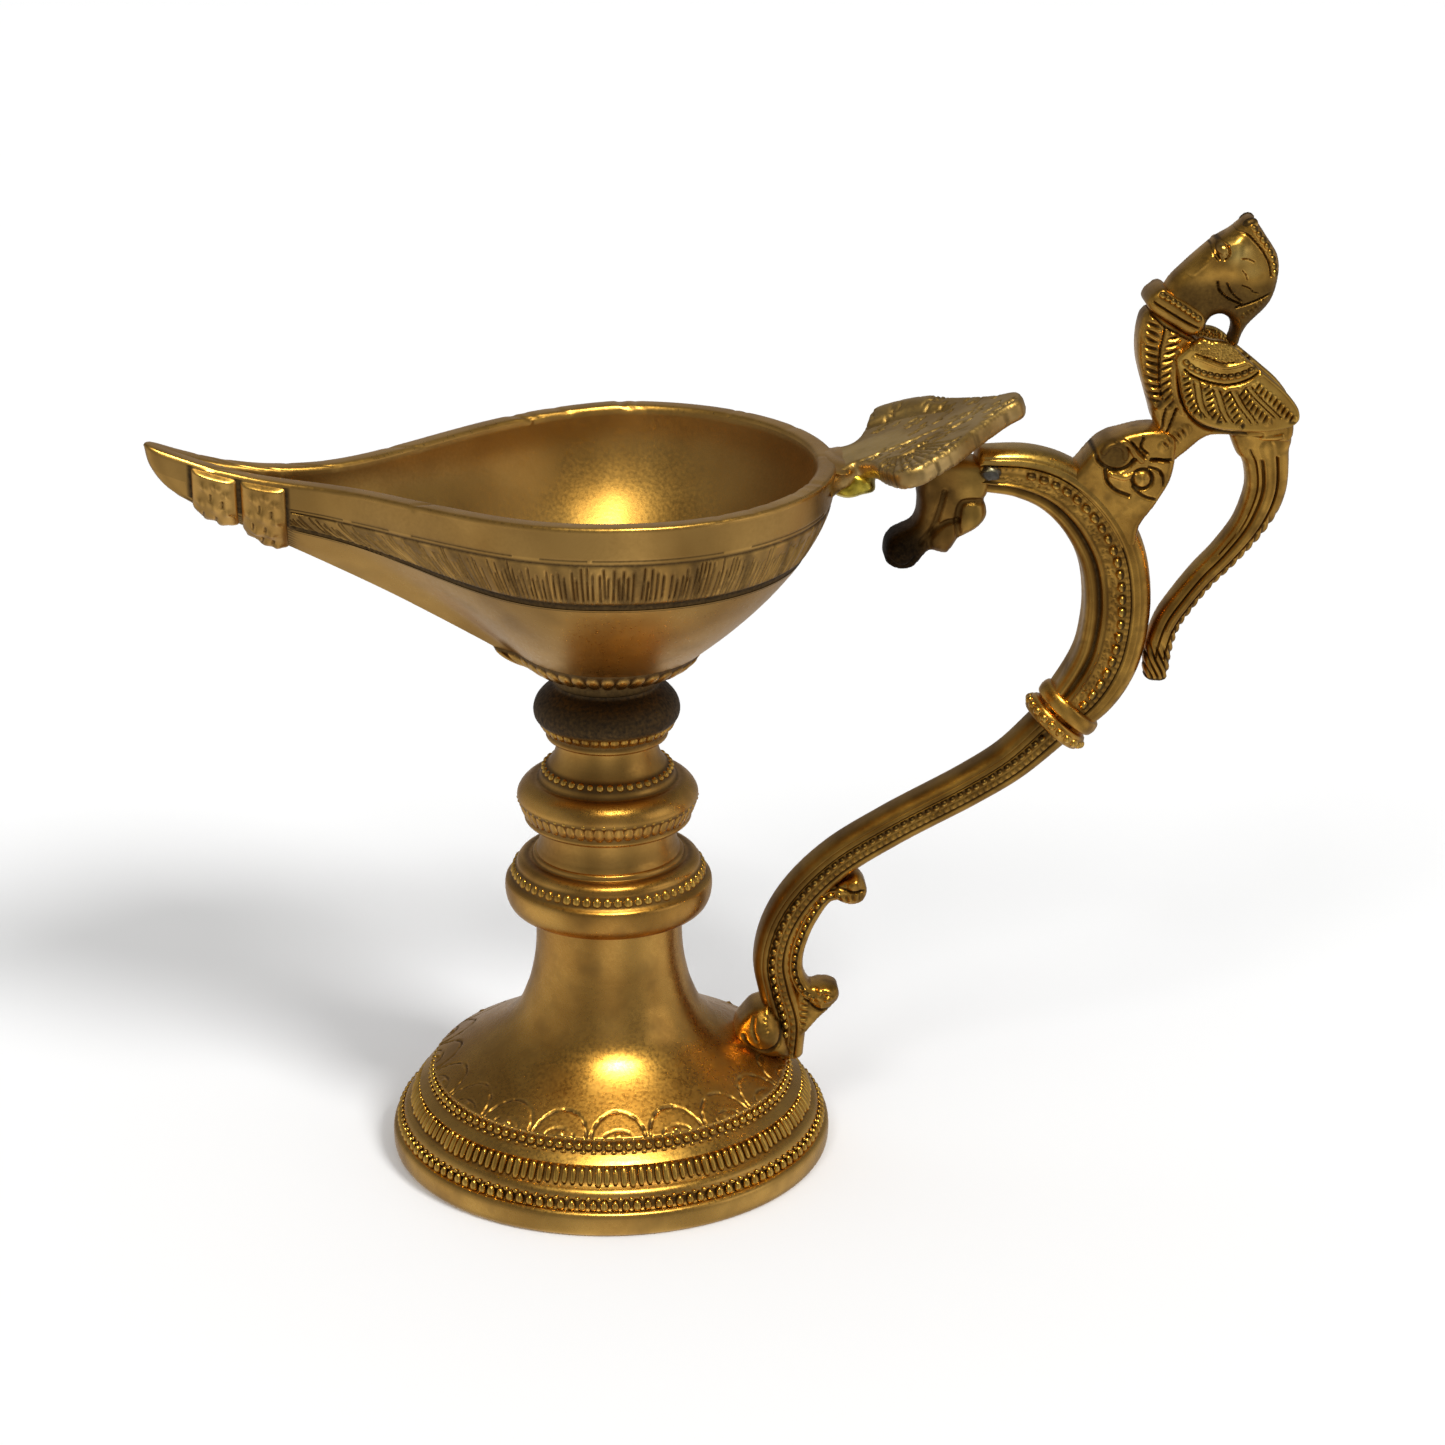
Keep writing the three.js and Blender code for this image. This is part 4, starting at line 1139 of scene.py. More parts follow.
@dataclass
class Foot:
    """Hollow bell foot: ledges, bead rows and flutes below, a ring of petals, a smooth bell."""

    petals: int = 19
    facets_per_petal: int = 12
    finer: int = 5
    petal_step: float = 0.23
    wear_waves: Places = ((31, 1.1), (13, -0.7), (57, 0.5))
    petal_arcs: tuple[tuple[float, ...], ...] = ((0.46, 4.5, 0.28, 0.24), (0.24, 1.25, 0.24, 0.16))
    ledge_top: float = 12.4
    ledge_inner: float = 25.0
    hollows: Places = ((3.75, 5.4), (6.5, 9.1), (10.3, 12.3))
    hollow_tarnish: float = 0.62
    ledge_tarnish: float = -0.15
    ledges: Places = (
        (28.8, 0), (31.4, 0), (31.9, 0.25), (32.2, 0.9), (32.2, 3.1), (31.98, 3.55), (31.5, 3.7),
        (31.05, 3.8), (30.85, 4.2), (30.6, 5.2), (30.75, 5.5), (30.6, 5.8), (30.25, 6.25),
        (29.85, 6.45), (29.45, 6.6), (29.0, 7.0), (28.0, 8.7), (27.95, 9.0), (28.3, 9.2),
        (28.2, 9.45), (27.8, 9.75), (27.3, 10.1), (26.9, 10.4), (26.55, 10.6), (26.3, 11.0),
        (25.9, 11.8), (25.85, 12.1), (26.0, 12.35))
    petal_band: Places = (
        (25.95, 12.5), (24.6, 13.25), (23.18, 14.06), (21.9, 14.8), (20.61, 15.56), (19.6, 16.15))
    bell: Places = (
        (19.0, 16.5), (17.23, 17.65), (15.6, 18.9), (14.17, 20.4), (13.2, 21.9), (12.4, 23.8),
        (11.75, 25.6), (11.27, 27.6), (10.9, 29.6), (10.68, 31.7), (10.6, 34.5), (10.63, 37.5))
    inside: Places = (
        (2.8, 37.5), (2.8, 25.0), (9.39, 25.0), (11.87, 19.04), (15.53, 15.65), (19.25, 13.34),
        (24.28, 9.86), (25.6, 7.83), (27.82, 3.65))

    def petal_marks(self, run: Array, rise: Array, pitch: float) -> tuple[Array, Array]:
        """Relief of the engraved half-round petals.

        Args:
            run: Distance round the bell from a petal's middle.
            rise: Distance up the slope from the band's lower edge.
            pitch: Distance between petals.

        Returns:
            Height and tarnish.
        """
        relief = Relief(np.column_stack([run, rise]))
        for wide, high, half, depth in self.petal_arcs:
            size = np.hypot(run / (wide * pitch), rise / high)
            reach = np.hypot(run, rise) / np.maximum(size, 0.01)
            cut = hump((size - 1) * reach / half)
            relief.height -= depth * cut
            relief.darken(cut)
        relief.dome((0.0, 0.35), 0.5, 0.3)
        below = blend(-0.1, 0.3, rise)
        return relief.height * below, relief.tarnish * below

    def build(self, maker: Maker) -> None:
        """Makes the bell and dresses it with its rows of ornaments.

        Args:
            maker: Makes and settles the pieces.
        """
        count = self.petals * self.facets_per_petal
        coarse = np.linspace(0, 2 * np.pi, count, endpoint=False)
        close = np.linspace(0, 2 * np.pi, count * self.finer, endpoint=False)

        def ring(r: float, z: float, angles: Array) -> Array:
            """Level ring of points."""
            return np.column_stack([
                r * np.cos(angles), r * np.sin(angles), np.full(len(angles), z)])

        rings, heights, dark = [], [], []
        petal_path = smooth_path(self.petal_band, self.petal_step)
        parts = [
            (smooth_path(self.ledges, 0.45), coarse), (petal_path, close),
            (smooth_path(self.bell, 0.7), coarse), (np.array(self.inside[:2]), coarse),
            (smooth_path(self.inside[2:], 1.5), coarse)]
        for path, angles in parts:
            fancy = path is petal_path
            for i, (r, z) in enumerate(path):
                rings.append(ring(r, z, angles))
                if fancy:
                    share = (angles * self.petals / (2 * np.pi) + 0.25) % 1.0 - 0.5
                    pitch = 2 * np.pi * r / self.petals
                    height, tarnish = self.petal_marks(
                        share * pitch, np.full(len(angles), i * self.petal_step), pitch)
                    wave = sum(np.sin(k * angles + m * i) for k, m in self.wear_waves)
                    worn = 0.3 + 0.7 * blend(-0.9, 0.5, wave)
                    heights.append(height * worn)
                    dark.append(tarnish * worn)
                else:
                    heights.append(np.zeros(len(angles)))
                    hollow = any(low < z < high for low, high in self.hollows)
                    tarnish = self.hollow_tarnish if hollow else self.ledge_tarnish
                    ledge = z < self.ledge_top and r > self.ledge_inner
                    dark.append(np.full(len(angles), tarnish if ledge else 0.0))
        body = skin(rings, loop=True)
        body.height, body.tarnish = np.concatenate(heights), np.concatenate(dark)
        maker.cast("foot_bell_casting", body, SATIN, "foot_bell")
        for name, size, lean, taper, count, radius, level, phase in (
            ("foot_edge_drops", (0.55, 0.6, 0.78), 15, 0.3, 126, 31.15, 4.5, 0.0),
            ("foot_edge_bits", (0.3, 0.4, 0.3), 15, 0.0, 126, 30.9, 5.35, 0.5),
            ("foot_rope_beads", (0.5, 0.6, 0.55), 30, 0.0, 116, 26.3, 11.35, 0.0),
            ("foot_rope_lower_bits", (0.3, 0.42, 0.25), 30, 0.0, 116, 26.75, 10.65, 0.5),
            ("foot_rope_upper_bits", (0.28, 0.42, 0.25), 30, 0.0, 116, 25.9, 12.2, 0.5)
        ):
            bead = pebble(size, lean=lean, taper=taper)
            maker.ring(name, bead, count, radius, level, phase=phase, uneven=0.09)
        maker.ring(
            "foot_flutes", pebble((0.5, 0.47, 1.4), lean=32, power=0.75), 150, 28.75, 7.9,
            uneven=0.16)


# ---- stem


@dataclass
class Stem:
    """Three turned knops with their rings of ornaments."""

    facets: int = 160
    bore: float = 2.8
    lower: Places = (
        (11.7, 37.5), (13.3, 37.62), (14.2, 38.2), (14.75, 39.2), (15.0, 40.4), (15.0, 41.5),
        (14.85, 42.15), (14.45, 42.45), (14.1, 42.75), (13.85, 43.4), (13.55, 44.05), (13.45, 44.3),
        (13.3, 44.4), (13.25, 44.75), (12.9, 45.25), (12.3, 45.6), (11.6, 45.7), (11.25, 45.6),
        (11.0, 45.75), (10.95, 46.1), (10.7, 46.4), (10.45, 46.45), (10.35, 46.8), (10.15, 47.2),
        (9.95, 48.0), (9.8, 49.0), (9.75, 50.6))
    middle: Places = (
        (9.88, 50.6), (11.0, 50.85), (11.75, 51.25), (12.05, 51.6), (12.0, 51.95), (11.9, 52.15),
        (12.1, 52.6), (12.5, 53.5), (12.6, 54.0), (12.9, 54.3), (13.05, 54.9), (12.95, 55.6),
        (12.5, 56.4), (11.9, 57.0), (11.2, 57.45), (10.6, 57.6), (10.25, 57.55), (9.9, 57.85),
        (9.5, 58.55), (9.15, 59.15), (9.0, 59.45), (8.6, 59.75), (8.1, 60.4), (7.7, 61.1),
        (7.4, 62.0), (7.2, 62.9), (7.15, 63.6))
    upper: Places = (
        (7.24, 63.6), (8.1, 63.7), (8.65, 64.0), (8.8, 64.4), (8.65, 64.75), (8.6, 64.95),
        (8.9, 65.4), (9.35, 66.1), (9.5, 66.35), (9.95, 66.6), (10.35, 67.2), (10.5, 67.9),
        (10.45, 68.6), (10.15, 69.5), (9.5, 70.4), (8.7, 71.1), (8.0, 71.6), (7.6, 71.95),
        (7.56, 72.3))

    def _outline(self, places: Places) -> list[tuple[float, float]]:
        """Closed outline of a knop, with its bore."""
        outside = smooth_path(places, 0.25).tolist()
        return [(self.bore, places[0][1]), *map(tuple, outside), (self.bore, places[-1][1])]

    def build(self, maker: Maker) -> None:
        """Turns the knops and sets their beads and scallops.

        Args:
            maker: Makes and settles the pieces.
        """
        for name, places, tarnish in (
            (
                "lower", self.lower,
                (
                    (42.3, 0), (42.7, 0.7), (44.3, 0.7), (44.5, 0), (45.5, 0), (45.7, 0.7),
                    (46.0, 0.1), (48.0, 0.3), (50.6, 0.1))),
            (
                "middle", self.middle,
                (
                    (51.6, 0), (52.2, 0.65), (54.6, 0.65), (55.0, 0), (57.3, 0), (57.7, 0.7),
                    (58.2, 0.2), (58.6, 0.8), (59.6, 0.8), (60.0, 0.2), (61.5, 0.3), (63.0, 0.1))),
            # Upper knop: dark in its groove at 64.9, then painted shade from 67.1 up, where it sits
            # under the bowl.
            (
                "upper", self.upper,
                ((64.3, 0.1), (64.9, 0.8), (65.3, 0.5), (66.6, 0.5), (67.1, 1), (72.3, 1)))
        ):
            maker.turned(
                f"{name}_knop_turning", self._outline(places), self.facets, SATIN,
                f"stem_{name}_knop", tarnish=tarnish)
        maker.ring(
            "lower_knop_beads", pebble((0.5, 0.68, 0.78), lean=22, taper=0.2), 58, 13.65, 43.45,
            uneven=0.1)
        maker.ring(
            "middle_knop_beads", pebble((0.5, 0.56, 0.58), lean=40), 40, 9.05, 59.1, uneven=0.08)
        maker.ring(
            "middle_knop_small_beads", pebble((0.28, 0.34, 0.3), lean=-15), 55, 12.85, 54.6,
            phase=0.5)
        maker.ring(
            "middle_knop_scallops", pebble((0.32, 0.72, 1.3), lean=-21, power=0.9), 55, 12.3, 53.3,
            SATIN, uneven=0.1)
        maker.ring(
            "upper_knop_scallops", pebble((0.42, 0.66, 0.85), lean=-32, power=0.85), 42, 9.25, 66.0,
            CARVED, uneven=0.14)


# ---- bowl


@dataclass
class Bowl:
    """Oil bowl drawn out to a spout, with an engraved band and two wraps under the spout."""

    radius: float = 30.2
    offset: float = 2.4
    run: float = 66.0
    base: float = 72.3
    low: float = 73.9
    rim: float = 104.7
    rise: float = 4.3
    boss: float = 7.8
    wall: float = 2.9
    floor: float = 79.4
    cavity_core: float = 7.25
    bore: float = 2.8
    bore_top: float = 76.7
    count: int = 400
    finer: int = 4
    plan: Places = (
        (0, 1), (0.1, 0.965), (0.19, 0.895), (0.28, 0.785), (0.37, 0.64), (0.46, 0.48),
        (0.55, 0.325), (0.64, 0.215), (0.73, 0.155), (0.83, 0.108), (0.93, 0.073), (0.975, 0.06),
        (0.993, 0.04), (1, 0))
    rim_rise: Places = (
        (0, 0), (0.25, -0.14), (0.5, -0.23), (0.63, -0.22), (0.73, -0.12), (0.83, 0.14),
        (0.92, 0.55), (1, 1))
    back: Places = (
        (0, 0), (0.07, 0.16), (0.18, 0.34), (0.3, 0.51), (0.45, 0.69), (0.62, 0.85), (0.8, 0.96),
        (1, 1))
    keel: Places = (
        (0, 0), (0.06, 0.09), (0.14, 0.175), (0.24, 0.28), (0.36, 0.41), (0.5, 0.575), (0.65, 0.76),
        (0.8, 0.935), (0.9, 0.985), (1, 1))
    cavity: Places = (
        (0, 0), (0.04, 0.17), (0.09, 0.3), (0.22, 0.485), (0.4, 0.68), (0.59, 0.845), (0.79, 0.955),
        (1, 1))
    band_low: Places = ((0, 0.6), (0.35, 0.605), (0.55, 0.66), (0.7, 0.755), (0.85, 0.8), (1, 0.82))
    band_high: Places = (
        (0, 0.825), (0.35, 0.825), (0.55, 0.83), (0.7, 0.855), (0.85, 0.87), (1, 0.88))
    wraps: Places = ((-53.95, 3.2), (-47.2, 3.2))
    scallop_count: int = 36
    scallop_levels: tuple[float, float] = (0.008, 0.115)
    nicks: int = 26
    nick_depth: float = 0.09
    # The lip is rubbed bright by wear and lightened further as a painted highlight.
    lip_wear_and_highlight: float = -0.7
    # Painted shade on the outer wall between the band and the lip.
    wall_painted_shade: float = 0.24
    # Painted shade on the bowl's underside round the boss.
    neck_painted_shade: float = 0.85
    cavity_tarnish: tuple[float, float] = (0.12, 0.54)
    stroke_half: float = 0.24
    stroke_depth: float = 0.26
    stroke_tarnish: float = 0.8
    wrap_points: tuple[int, int] = (40, 170)
    wrap_height: float = 1.25
    wrap_sink: float = 0.3
    wrap_under: float = 0.6
    scallop_height: float = 0.55
    scallop_shape: Triple = (0.47, 0.86, 2.4)

    def rim_line(self, moved: float, count: int) -> Array:
        """Even points round the rim in plan, moved out by a distance.

        Args:
            moved: The distance.
            count: How many points.

        Returns:
            The points, from behind to the tip and back.
        """
        turn = np.arange(-1, 8) * np.pi / 16
        arc = [(self.offset + self.radius * math.cos(t), self.radius * math.sin(t)) for t in turn]
        beyond = (self.plan[-2][0], -self.plan[-2][1])
        side = arc + [
            (self.offset - s * self.run, w * self.radius) for s, w in (*self.plan, beyond)]
        line = smooth_path(side, 0.25)
        way = np.gradient(line, axis=0)
        way /= np.linalg.norm(way, axis=1)[:, None]
        line = line + np.column_stack([way[:, 1], -way[:, 0]]) * moved

        def crossing(one: Array, two: Array) -> Array:
            """Place between two others where the line meets the middle plane."""
            return one + (two - one) * one[1] / (one[1] - two[1])

        first = int(np.argmax(line[:, 1] > 0))
        last = first + int(np.argmax(line[first:, 1] <= 0))
        line = np.vstack([
            crossing(line[first - 1], line[first]), line[first:last],
            crossing(line[last - 1], line[last])])
        run = run_along(line)
        at = np.linspace(0, run[-1], count // 2 + 1)
        half = np.column_stack([np.interp(at, run, line[:, 0]), np.interp(at, run, line[:, 1])])
        half[0, 1] = half[-1, 1] = 0
        return np.vstack([half, half[-2:0:-1] * (1, -1)])

    def ring(
        self, moved: float, level: Array | float, core: float, low: float, back: Places, count: int,
        drop: float = 0.0
    ) -> Array:
        """Ring of the bowl's skin.

        Args:
            moved: Distance that the plan is moved out.
            level: Height from the low level to the rim, as a share.
            core: Radius that the bowl starts from.
            low: The low level.
            back: Table of the reach at each level behind.
            count: Points in the ring.
            drop: Distance under the level.

        Returns:
            The ring's points.
        """
        plan = self.rim_line(moved, count)
        share = np.maximum(0, (self.offset - plan[:, 0]) / self.run)
        level = np.broadcast_to(level, share.shape)
        turn = blend(0.1, 0.75, share)
        reach = table_value(back, level) * (1 - turn) + table_value(self.keel, level) * turn
        radius = np.hypot(plan[:, 0], plan[:, 1])
        scale = (core + (radius - core) * reach) / radius
        rim = self.rim + self.rise * table_value(self.rim_rise, np.minimum(share, 1))
        return np.column_stack([plan * scale[:, None], low + (rim - low) * level - drop])

    def shell(
        self, level: Array | float, count: int, moved: float = 0.0, drop: float = 0.0
    ) -> Array:
        """Ring of the outside."""
        return self.ring(moved, level, self.boss, self.low, self.back, count, drop)

    def level_at(self, share: Array, step: float) -> Array:
        """Levels of a row: 0 at the boss, 1 and 2 at the band's edges, 3 at the rim.

        Args:
            share: Share of the run to the tip at each point.
            step: The row.

        Returns:
            A level for each point.
        """
        low, high = table_value(self.band_low, share), table_value(self.band_high, share)
        stops = [np.zeros_like(low), low, high, np.ones_like(low)]
        i = min(int(step), 2)
        return stops[i] + (stops[i + 1] - stops[i]) * (step - i)

    def strokes(self, length: float) -> tuple[Array, Array, Array]:
        """Uneven strokes that are cut in the band, in small groups.

        Args:
            length: Distance all round.

        Returns:
            Places along the band, slants and reaches.
        """
        rng = np.random.default_rng(7)
        places, at = [], 0.6
        while at < length - 0.5:
            for _ in range(rng.integers(3, 11)):
                places.append(at)
                at += rng.uniform(0.5, 0.88)
            at += rng.uniform(0.1, 0.9)
        size = len(places)
        return np.array(places), rng.uniform(-0.3, 0.3, size), rng.uniform(0.62, 1.0, size)

    def engraving(self, run: Array, up: Array, length: float) -> tuple[Array, Array]:
        """Relief of the band.

        Args:
            run: Distance round the rim.
            up: Place in the band, 0 at its lower line and 1 at its upper one.
            length: Distance all round.

        Returns:
            Height and tarnish.
        """
        height, dark = np.zeros(len(run)), np.zeros(len(run))
        places, slants, reaches = self.strokes(length)
        for shift in (-1, 0, 1):
            index = np.clip(np.searchsorted(places, run) + shift, 0, len(places) - 1)
            off = np.abs(run - places[index] - slants[index] * (up - 0.5))
            along = blend(0.02, 0.1 + 0.5 * np.abs(slants[index]), up)
            along *= blend(reaches[index] + 0.04, reaches[index] - 0.06, up)
            cut = hump(off / self.stroke_half) * along
            height = np.minimum(height, -self.stroke_depth * cut)
            dark = np.maximum(dark, self.stroke_tarnish * cut)
        double = np.sin(run * 0.23) + np.sin(run * 0.61 + 1) > -1.0
        for line, half, deep in (
            (0.0, 0.075, 0.32), (1.0, 0.04, 0.2), (1.1, np.where(double, 0.03, 0.001), 0.15)
        ):
            cut = hump((up - line) / half)
            height, dark = np.minimum(height, -deep * cut), np.maximum(dark, cut)
        inside = blend(-0.02, 0.05, up) * blend(1.02, 0.95, up)
        patch = 0.34 + 0.16 * np.sin(run * 0.71)
        patch += 0.2 * np.sin(run * 1.9 + 4 * up) * np.sin(run * 0.33)
        return height, np.maximum(dark, patch * inside)

    def sections(self, places: Array, points: int) -> Array:
        """Cuts across the spout's outside, each from the near rim under the keel to the far one.

        Args:
            places: Where the cuts lie along the spout.
            points: Points on each cut.

        Returns:
            One row of points for each cut.
        """
        half = self.count * 2
        shells = [self.shell(level, half * 2)[:half + 1] for level in np.linspace(0.985, 0.3, 60)]
        tips = np.array([shell[-1] for shell in shells])[::-1]
        rows = []
        for x in places:
            side = [
                (np.interp(-x, -shell[:, 0], shell[:, 1]), np.interp(-x, -shell[:, 0], shell[:, 2]))
                for shell in shells
                if shell[-1, 0] < x]
            keel = np.interp(-x, -tips[:, 0], tips[:, 2])
            far = np.array([*side, (0.0, keel)])
            line = np.vstack([far * (-1, 1), far[-2::-1]])
            run = run_along(line)
            at = np.linspace(0, run[-1], points)
            rows.append(
                np.column_stack([
                    np.full(points, x), np.interp(at, run, line[:, 0]),
                    np.interp(at, run, line[:, 1])]))
        return np.array(rows)

    def carve_wrap(self, relief: Relief) -> None:
        """Soft worn bumps and small square marks; up the face is the way to the rim.

        Args:
            relief: Relief of the face.
        """
        for x, down, radius, height in (
            (-1.2, 2.3, 0.65, 0.4), (0.5, 1.9, 0.55, 0.35), (1.8, 2.6, 0.5, 0.3),
            (-1.9, 4.7, 0.6, 0.3), (0.1, 4.6, 0.9, 0.45), (1.9, 5.2, 0.5, 0.3),
            (-0.9, 7.3, 0.75, 0.4), (1.1, 7.5, 0.6, 0.35), (-2.0, 9.4, 0.6, 0.3),
            (0.3, 9.8, 0.85, 0.4), (1.9, 10.2, 0.5, 0.3), (-0.9, 12.3, 0.7, 0.35),
            (1.0, 12.6, 0.6, 0.3)
        ):
            relief.swell((x, -down), radius, height)
        for x, down in (
            (-0.35, 3.1), (1.25, 3.7), (-1.4, 6.0), (0.3, 6.3), (-0.1, 8.4), (1.3, 8.8),
            (-1.3, 10.9), (0.5, 11.3)
        ):
            relief.groove(((x, -down), (x + 0.05, -down - 0.4), (x, -down - 0.8)), 0.2, 0.22, 0.7)

    def wrap(self, middle: float, half: float) -> Body:
        """One of the raised bands that pass under the spout.

        Args:
            middle: Where its middle lies along the spout.
            half: Half its width.

        Returns:
            The closed body.
        """
        wide, around = self.wrap_points
        skin_line = self.sections(np.linspace(middle - half, middle + half, wide), around)
        across, along = np.gradient(skin_line, axis=1), np.gradient(skin_line, axis=0)
        out = np.cross(across, along)
        out /= np.linalg.norm(out, axis=2)[..., None]
        inward = np.array((0, 0, self.rim)) - skin_line
        inward[..., 0] = 0
        out *= np.where(np.sum(out * inward, axis=2) > 0, -1, 1)[..., None]
        steps = np.linalg.norm(np.diff(skin_line, axis=1), axis=2)
        run = np.concatenate([np.zeros((wide, 1)), np.cumsum(steps, axis=1)], axis=1)
        down = np.minimum(run, run[:, -1:] - run)
        share = np.broadcast_to(np.linspace(-1, 1, wide)[:, None], run.shape)
        relief = Relief(np.column_stack([(share * half).ravel(), -down.ravel()]))
        self.carve_wrap(relief)
        body_of = np.sqrt(np.clip(1 - np.abs(share) ** 3, 0, 1)) * blend(0.0, 0.9, down)
        marks = relief.height.reshape(run.shape) * blend(0.2, 0.6, body_of)
        rise = self.wrap_height * body_of - self.wrap_sink + marks
        made = thick_sheet(skin_line + out * rise[..., None], skin_line - out * self.wrap_under)
        edge = 0.75 * blend(0.5, 0.1, body_of).ravel()
        made.tarnish = np.r_[np.maximum(relief.tarnish, edge), np.zeros(run.size)]
        return made

    def scallops(self) -> Body:
        """Strip of scallops that follows the start of the underside, which is egg-shaped in plan.

        Returns:
            The closed body.
        """
        outer = [
            self.shell(level, self.count * 3) for level in np.linspace(*self.scallop_levels, 24)]
        inner = [
            np.column_stack([ring[:, :2] * 0.95, ring[:, 2] + 0.5])
            for ring in (outer[-1], outer[0])]
        body = skin([*outer, *inner], loop=True)
        count, rows = len(outer[0]), len(outer)
        middle = outer[rows // 2]
        run = run_along(middle)
        across = (np.tile(run / run[-1] * self.scallop_count, rows) + 0.5) % 1 - 0.5
        up = np.repeat(np.linspace(-1, 1, rows), count)
        wide, high, power = self.scallop_shape
        size = np.abs(across / wide) ** power + np.abs(up / high) ** power
        strip = 0.3 * np.sqrt(hump(up))
        pad = np.zeros(2 * count)
        body.height = np.r_[strip + self.scallop_height * np.sqrt(np.clip(1 - size, 0, 1)), pad]
        body.tarnish = np.r_[blend(0.72, 1.0, size) - 0.15, pad]
        return body

    def build(self, maker: Maker) -> None:
        """Makes the bowl in one skin, inside and out, and sets the scallops round its boss.

        Args:
            maker: Makes and settles the pieces.
        """
        many = self.count * self.finer
        shares = {
            n: np.maximum(0, (self.offset - self.rim_line(0, n)[:, 0]) / self.run)
            for n in (self.count, many)}
        rings, levels, bands = [], [], []
        lip_mark, cavity_mark = 2.0, 3.0

        def add(ring: Array, level: Array | float = -1.0, band: float = -9.0) -> None:
            """Adds a ring and what is known of its places.

            Args:
                ring: Its points.
                level: Level of each, or a mark.
                band: Place in the band, or -9 beside it.
            """
            rings.append(ring)
            levels.append(np.broadcast_to(level, len(ring)).astype(float))
            bands.append(np.full(len(ring), band))

        def level_ring(radius: float, z: float) -> Array:
            """Round level ring."""
            angle = np.linspace(0, 2 * np.pi, self.count, endpoint=False)
            return np.column_stack([
                radius * np.cos(angle), radius * np.sin(angle), np.full(self.count, z)])

        foot = self.shell(0.0, self.count)
        add(level_ring(self.bore, self.bore_top))
        add(level_ring(self.bore, self.base))
        for shrink, z in ((0.97, self.base), (1.0, self.base + 0.25), (1.0, self.low - 0.4)):
            add(np.column_stack([foot[:, :2] * shrink, np.full(self.count, z)]))
        for step in np.linspace(0, 1, 30)[:-1]:
            level = self.level_at(shares[self.count], step)
            add(self.shell(level, self.count), level)
        for step in (*np.linspace(0.96, 2.2, 30), *np.linspace(2.26, 2.85, 6)):
            level = self.level_at(shares[many], step)
            add(self.shell(level, many), level, step - 1)
        for moved, drop in (
            (-0.05, 0.5), (-0.2, 0.2), (-0.42, 0.04), (-0.75, 0.0), (-self.wall + 0.75, 0.0),
            (-self.wall + 0.4, 0.07), (-self.wall + 0.12, 0.25), (-self.wall, 0.5)
        ):
            add(self.shell(1.0, self.count, moved, drop), lip_mark)
        for level in np.linspace(0.975, 0, 34):
            add(
                self.ring(-self.wall, level, self.cavity_core, self.floor, self.cavity, self.count),
                cavity_mark)
        for shrink in (0.66, 0.5):
            add(np.column_stack([rings[-1][:, :2] * shrink, rings[-1][:, 2]]), cavity_mark)
        add(np.array([[0, 0, self.floor]]), cavity_mark)
        rings.insert(0, np.array([[0, 0, self.bore_top]]))
        levels.insert(0, np.array([-1.0]))
        bands.insert(0, np.array([-9.0]))
        body = skin(rings)
        level, band = np.concatenate(levels), np.concatenate(bands)
        rim = self.rim_line(0, many)
        spacing = float(np.linalg.norm(rim[1] - rim[0]))
        run = np.concatenate([np.arange(len(r)) * spacing * (many / max(len(r), 1)) for r in rings])
        height, dark = np.zeros(len(level)), np.zeros(len(level))
        behind = body.verts[:, 0] > self.wraps[1][0] + self.wraps[1][1] + 0.4
        marked = (band > -1) & behind & (band < 1.5)
        height[marked], dark[marked] = self.engraving(run[marked], band[marked], spacing * many)
        lip = level == lip_mark
        rng = np.random.default_rng(12)
        for at, size in zip(
            rng.uniform(0, spacing * many, self.nicks), rng.uniform(0.25, 0.8, self.nicks)
        ):
            height[lip] -= self.nick_depth * np.exp(-((run[lip] - at) / size) ** 2)
        # Lip: wear, and a painted highlight along it.
        dark[lip] = self.lip_wear_and_highlight
        # Painted shade on the outer wall between the band and the lip, made uneven by patches.
        upper = (band > 1.12) & (level < 1.5)
        patches = 0.07 * np.sin(0.37 * run) * np.sin(0.13 * run + 1)
        dark[upper] = np.maximum(dark[upper], self.wall_painted_shade + patches[upper])
        inside = level == cavity_mark
        middle_tarnish, end_tarnish = self.cavity_tarnish
        towards_ends = blend(7.0, 27.0, np.abs(body.verts[inside, 0] - 1.0))
        dark[inside] = middle_tarnish + (end_tarnish - middle_tarnish) * towards_ends
        # Painted shade on the bowl's underside round the boss.
        neck = (body.verts[:, 2] < self.low + 0.9) & (level < 0.03)
        dark[neck] = self.neck_painted_shade
        for middle, half in self.wraps:
            off = np.abs(body.verts[:, 0] - middle) - half
            seam = hump(off / 0.7) * ((level > 0.15) & (level < 0.985))
            dark = np.maximum(dark, seam)
            maker.cast(f"spout_wrap_{round(-middle)}", self.wrap(middle, half), BOWL_BRASS)
        body.height, body.tarnish = height, dark
        maker.cast("bowl_casting", body, BOWL_BRASS, "bowl")
        maker.cast("bowl_boss_scallops", self.scallops(), SATIN)


# ---- leaf plate


